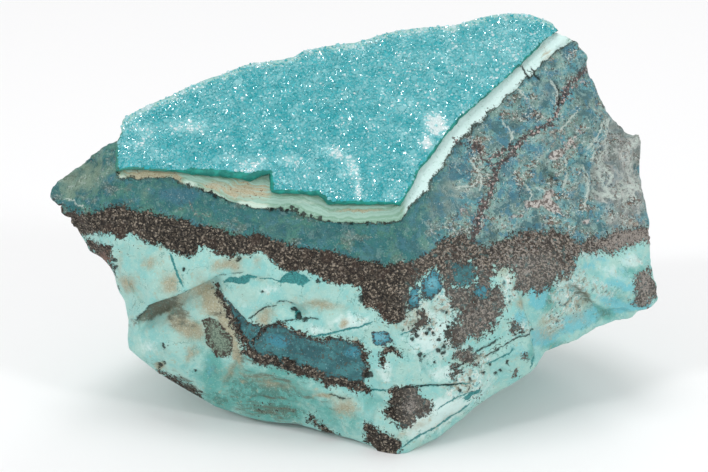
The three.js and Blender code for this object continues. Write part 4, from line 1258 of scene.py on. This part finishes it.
def rock_mesh():
    """The rock's points and triangles, and which points stand on the ground. Each point has two more
    numbers: how far it counts as the front, and how squarely it faces the eye."""
    points, triangles = cad_mesh("chrysocolla_rock")
    to_eye = EYE - points
    to_eye /= np.linalg.norm(to_eye, axis=1, keepdims=True)
    facing = np.einsum("ij,ij->i", point_normals(points, triangles), to_eye)
    points = np.column_stack([points, smooth_rise(facing, -0.45, -0.05), facing])
    narrow = [stroke for stroke in BROWN_STROKES + BROWN_VEINS if stroke[0] < NARROW]

    def longest(places):
        view = in_view(places)
        wanted = np.where(places[:, 4] > -0.1, FRONT_STEP, BACK_STEP)
        near_line = np.maximum(stroke_depth(view, narrow), dot_depth(view, DARK_DOTS)) > -LINE_MARGIN
        wanted = np.where((places[:, 4] > 0) & near_line, LINE_STEP, wanted)
        covered = patch_depth(view, [DRUSE_FRONT + DRUSE_BACK]) > 2
        return np.where(covered & (places[:, 4] > 0.3), COVERED_STEP, wanted)

    points, triangles = refine(points, triangles, longest, LINE_STEP)
    standing = points[:, 2] < GROUND
    view = in_view(points)
    crease = np.minimum(distance_to_line(view, SEAM_EDGE), distance_to_line(view, LEFT_CREASE))
    softness = 0.5 * np.where(standing, 0, np.clip(crease * UNIT / 1.2, 0.08, 1))
    points = relax(points, triangles, softness, RELAX_ROUNDS)
    corner_gap = np.linalg.norm(in_view(points) - THIN_CORNER, axis=1)
    softness = 0.5 * np.exp(-((corner_gap / THIN_CORNER_REACH) ** 2))
    return relax(points, triangles, softness, RELAX_ROUNDS), triangles, standing


def make_rock():
    points, triangles, standing = rock_mesh()
    fields = rock_fields(points, points[:, 3])
    # The relief is calm under the crust, near the ground and near the stone's outline.
    below_druse = -(points[:, :3] - DRUSE_ORIGIN) @ DRUSE_NORMAL
    calm = smooth_rise(below_druse, CRUST_BED, CRUST_BED + 0.8) * np.where(standing, 0, 1)
    calm *= 0.25 + 0.75 * smooth_rise(points[:, 2], 0, 5)
    calm *= 0.35 + 0.65 * smooth_rise(np.abs(points[:, 4]), 0, 0.35)
    view = in_view(points)
    steps = (spot_sum(view, MOUNDS) - ledge_depth(view, LEDGES)) * smooth_rise(points[:, 4], 0, 0.3)
    relief = (rock_relief(points, fields) + steps) * calm
    points[:, :3] += point_normals(points, triangles) * relief[:, None]
    points[:, 2] = np.where(standing, 0, np.maximum(points[:, 2], 0))
    material = rock_finish()
    make_piece("chrysocolla_stone", points, triangles, fields, material, "chrysocolla_rock")


# The crust and its crystals


def even_steps(outline, step):
    """A closed outline with points a step apart."""
    points = []
    for start, end in zip(outline, outline[1:] + outline[:1]):
        start, end = np.array(start), np.array(end)
        count = max(1, round(np.linalg.norm(end - start) / step))
        points += [tuple(start + (end - start) * k / count) for k in range(count)]
    return points


def druse_outline():
    return [druse_place(x, y, CRUST_LEVEL) for x, y in DRUSE_FRONT + DRUSE_BACK]


def edge_widths(view):
    """How wide the bare strip is beside each point, and how far the foot stands out."""
    places = np.array(EDGE_PLACES, float)
    marks, _ = along_line(places[:, :2], DRUSE_FRONT)
    here, _ = along_line(view, DRUSE_FRONT)
    return np.interp(here, marks, places[:, 2]), np.interp(here, marks, places[:, 3])


def crust_height(x, y):
    """The level of the crust under the crystals, above the plane of the druse."""
    place = Vector((x, y, 0))
    return -CRUST_LEVEL + 0.16 * noise.noise(place / 5) + 0.08 * noise.noise(place / 1.3)


def grid_over(outline, step, jitter, seed):
    """Points in a staggered grid inside an outline, each moved a little."""
    draw = random.Random(seed)
    corners = np.array(outline)
    low, high = corners.min(axis=0), corners.max(axis=0)
    row_step = step * math.sqrt(3) / 2
    rows = int((high[1] - low[1]) / row_step) + 1
    columns = int((high[0] - low[0]) / step) + 1
    points = np.array([
        (
            low[0] + (column + 0.5 * (row % 2)) * step + draw.uniform(-jitter, jitter),
            low[1] + row * row_step + draw.uniform(-jitter, jitter),
        )
        for row in range(rows)
        for column in range(columns)
    ])
    return points[is_inside(points, outline)]


def crust_sheet():
    """The crust's upper face, flat: its corners and its triangles, all turned the same way."""
    draw = random.Random(EDGE_SEED)
    outline = druse_outline()
    ragged = [
        (x + draw.uniform(-EDGE_UNEVEN, EDGE_UNEVEN), y + draw.uniform(-EDGE_UNEVEN, EDGE_UNEVEN))
        for x, y in even_steps(outline, CRUST_STEP)
    ]
    inner = grid_over(outline, CRUST_STEP, CRUST_UNEVEN, SHEET_SEED)
    inner = inner[distance_to_line(inner, ragged + ragged[:1]) > 0.6 * CRUST_STEP]
    flat = [Vector(p) for p in ragged + inner.tolist()]
    edges = [(k, (k + 1) % len(ragged)) for k in range(len(ragged))]
    corners, _, faces, *_ = geometry.delaunay_2d_cdt(flat, edges, [], 1, 1e-5)
    corners, faces = np.array([tuple(p) for p in corners]), np.array(faces)
    (ax, ay), (bx, by), (cx, cy) = (corners[faces[:, k]].T for k in range(3))
    turned = (bx - ax) * (cy - ay) - (by - ay) * (cx - ax) < 0
    faces[turned] = faces[turned][:, ::-1]
    return corners, faces


def border_of(faces):
    """The edges that belong to one triangle only."""
    directed = np.concatenate([faces[:, [0, 1]], faces[:, [1, 2]], faces[:, [2, 0]]])
    known = {tuple(e) for e in directed.tolist()}
    return sorted((i, j) for i, j in known if (j, i) not in known)


def foot_place(corner, push):
    """Where the foot of the crust's edge lies below a corner. It stands out in front."""
    here = in_view(on_druse(corner[None]))[0]
    if distance_to_line(here[None], DRUSE_FRONT)[0] >= FRONT_NEARNESS:
        return corner[:2]
    outer = in_view(on_druse(corner[None] + np.array([[*push, 0]]) * 0.2))[0]
    outward = (outer - here) / np.linalg.norm(outer - here)
    foot = edge_widths(here[None])[1][0] + 1.3 * noise.noise(Vector((here[0] / 8, here[1] / 8, 0.5)))
    return druse_place(*(here + outward * foot), CRUST_BED)


def make_crust():
    corners, faces = crust_sheet()
    count = len(corners)
    top = np.array([(x, y, crust_height(x, y)) for x, y in corners])
    bottom = np.column_stack([corners, np.full(count, -CRUST_BED)])
    border = border_of(faces)
    ring = sorted({i for i, _ in border})
    push = np.zeros((count, 2))
    for i, j in border:
        run = top[j] - top[i]
        push[[i, j]] += np.array((run[1], -run[0])) / np.hypot(run[0], run[1])
    for i in ring:
        bottom[i, :2] = foot_place(top[i], push[i])

    # The broken edge is a wall of four rows of faces that bulges a little.
    rows = [top, bottom]
    wall = [ring]
    for share in EDGE_LEVELS:
        row = top[ring] * (1 - share) + bottom[ring] * share
        bulge = np.array([0.06 * noise.noise(Vector(p) / 0.7) + 0.03 for p in row.tolist()])
        row[:, :2] += push[ring] * bulge[:, None]
        first = sum(len(r) for r in rows)
        rows.append(row)
        wall.append(range(first, first + len(ring)))
    wall.append([count + i for i in ring])
    number = {i: k for k, i in enumerate(ring)}
    walls = []
    for i, j in border:
        for upper, lower in zip(wall, wall[1:]):
            a, b = upper[number[i]], upper[number[j]]
            c, d = lower[number[i]], lower[number[j]]
            walls += [(b, a, c), (b, c, d)]

    flat_points = np.concatenate(rows)
    triangles = np.concatenate([faces, faces[:, ::-1] + count, np.array(walls)])
    points = on_druse(flat_points)
    view = in_view(points)
    drop = -flat_points[:, 2]
    front = distance_to_line(view, DRUSE_FRONT)
    back = distance_to_line(view, DRUSE_BACK) * UNIT
    fields = {
        "milky": spot_strength(view, MILKY_SPOTS),
        "rim": smooth_rise(-back, -1.5, -0.3),
        "side": np.maximum(
            smooth_rise(drop, 0.6, 0.75), smooth_rise(edge_widths(view)[0] - front, -0.5, 0.8)
        ),
        "foot": smooth_rise(drop, 1.15, 1.4) * smooth_rise(view[:, 0], 410, 390) * smooth_rise(front, 14, 8),
        "side_grey": np.maximum(smooth_rise(view[:, 0], 182, 150), smooth_rise(-back, -1.5, -0.5)),
    }
    make_piece(
        "teal_crust", points, triangles, fields, crust_finish(), "druzy_quartz_crust"
    )


def quartz_point(radius, axis, draw):
    """A six-sided crystal that narrows to a point above and below: its corners and its triangles."""
    length = draw.uniform(0.45, 0.85) * radius
    turn = draw.uniform(0, math.pi)
    corners = [Vector((draw.uniform(-0.2, 0.2) * radius, draw.uniform(-0.2, 0.2) * radius, length))]
    for k in range(6):
        angle = turn + k * math.pi / 3
        reach = radius * draw.uniform(0.8, 1.15)
        corners.append(Vector((reach * math.cos(angle), reach * math.sin(angle), 0)))
    corners.append(Vector((0, 0, -CRYSTAL_ROOT)))
    sides = [(1 + k, 1 + (k + 1) % 6) for k in range(6)]
    triangles = [(0, here, after) for here, after in sides] + [(7, after, here) for here, after in sides]
    return [axis @ p for p in corners], triangles


def make_crystals():
    """Two pieces: the clear crystals, and the milky ones that lie in patches and here and there. The milky
    crystals scattered here and there are partly white quartz and partly painted glints.
    """
    draw = random.Random(CRYSTAL_SEED)
    places = grid_over(druse_outline(), CRYSTAL_SPACING, CRYSTAL_UNEVEN, PLACE_SEED)
    view = in_view(on_druse(np.column_stack([places, np.full(len(places), -CRUST_LEVEL)])))
    milky = spot_strength(view, MILKY_SPOTS)
    gaps = spot_strength(view, CLEAR_SPOTS)
    back = distance_to_line(view, DRUSE_BACK) * UNIT
    bare = edge_widths(view)[0] - distance_to_line(view, DRUSE_FRONT)
    kinds = {"clear": ([], [], []), "milky": ([], [], [])}
    for (x, y), cloud, gap, rim, strip in zip(places, milky, gaps, back, bare):
        if strip > 0 or draw.random() < 0.35 * smooth_rise(-rim, -0.9, -0.1):
            continue
        big = draw.random() < BIG_CRYSTAL_SHARE
        radius = CRYSTAL_RADIUS * math.exp(draw.gauss(0, 0.25)) * (BIG_CRYSTAL_GAIN if big else 1)
        lean = Euler((draw.gauss(0, 0.22), draw.gauss(0, 0.22), 0)).to_matrix()
        corners, faces = quartz_point(radius, lean, draw)
        level = crust_height(x, y) + draw.uniform(-0.03, 0.07)
        soft = noise.fractal(Vector((x, y, 0)) / 2.2, 0.9, 2.1, 3)
        # Crystals are milky in the milky patches and along the back rim; the random share scatters single
        # milky crystals that are partly painted glints.
        milky_and_glint_share = 0.45 * cloud + draw.gauss(0.09, 0.19) + 0.2 * soft
        milky_and_glint_share += 0.45 * smooth_rise(-rim, -1.3, -0.3) - 0.25 * big
        points, triangles, tones = kinds["milky" if milky_and_glint_share > 0.5 else "clear"]
        base = len(points)
        points += [(x + p.x, y + p.y, level + p.z) for p in corners]
        triangles += [(a + base, b + base, c + base) for a, b, c in faces]
        tones += [0.42 + 0.4 * soft + draw.gauss(0, 0.15) - 0.2 * gap + 0.45 * cloud] * len(corners)
    finishes = {
        "clear": crystal_finish("clear_quartz", 0.35, (28, 190, 200), (176, 244, 248)),
        "milky": crystal_finish("milky_quartz", 0.2, (150, 218, 224), (236, 252, 253)),
    }
    for kind, (points, triangles, tones) in kinds.items():
        make_piece(
            kind + "_quartz_crystals",
            on_druse(np.array(points)),
            np.array(triangles),
            {"tone": tones},
            finishes[kind],
            "druzy_quartz_crust",
            smooth=False,
        )


# The studio


# Each light: its name, its place in metres, its power in watts and its width in metres
LIGHTS = [
    ("above", (-0.15, 0.25, 1.9), 10.5, 0.9),
    ("key", (-0.65, -0.5, 0.6), 2, 0.13),
    ("right", (0.65, -0.5, 0.45), 1.7, 0.13),
    ("front", (0.05, -0.9, 0.35), 0.8, 0.12),
    ("back", (0.3, 0.8, 0.9), 1.2, 0.4),
]
LIGHTS_AIM = Vector((0, 0, 0.03))
SKY_STRENGTH = 0.6
FLOOR_HALF = 3


def make_camera():
    data = bpy.data.cameras.new("camera")
    data.sensor_width = SENSOR_WIDTH
    data.lens = SENSOR_WIDTH * VIEW_DISTANCE / (VIEW_SIZE[0] * UNIT)
    data.clip_start = 0.01
    data.clip_end = 20
    camera = add_object("camera", data)
    camera.location = Vector(EYE * METRES)
    camera.rotation_euler = Vector(AWAY).to_track_quat("-Z", "Y").to_euler()
    bpy.context.scene.camera = camera


def make_floor():
    s = Finish("pale_floor")
    s.finish((0.9, 0.9, 0.905), 0.6)
    s.surface.inputs["Specular IOR Level"].default_value = 0.2
    mesh = bpy.data.meshes.new("floor")
    corners = [(x * FLOOR_HALF, y * FLOOR_HALF, 0) for x, y in ((-1, -1), (1, -1), (1, 1), (-1, 1))]
    mesh.from_pydata(corners, [], [(0, 1, 2, 3)])
    mesh.materials.append(s.material)
    floor = add_object("floor", mesh)


def make_light(name, place, power, width):
    """A square soft light that points at the stone."""
    data = bpy.data.lights.new(name, "AREA")
    data.energy = power
    data.size = width
    light = add_object(name, data)
    light.location = place
    light.rotation_euler = (LIGHTS_AIM - light.location).to_track_quat("-Z", "Y").to_euler()


def make_studio():
    world = bpy.data.worlds.new("studio")
    world.use_nodes = True
    background = world.node_tree.nodes["Background"]
    background.inputs["Color"].default_value = (1, 1, 1, 1)
    background.inputs["Strength"].default_value = SKY_STRENGTH
    bpy.context.scene.world = world
    bpy.context.scene.view_settings.view_transform = "Standard"
    for light in LIGHTS:
        make_light(*light)


noise.seed_set(CHIP_SEED)
make_camera()
make_rock()
make_crust()
make_crystals()
make_floor()
make_studio()
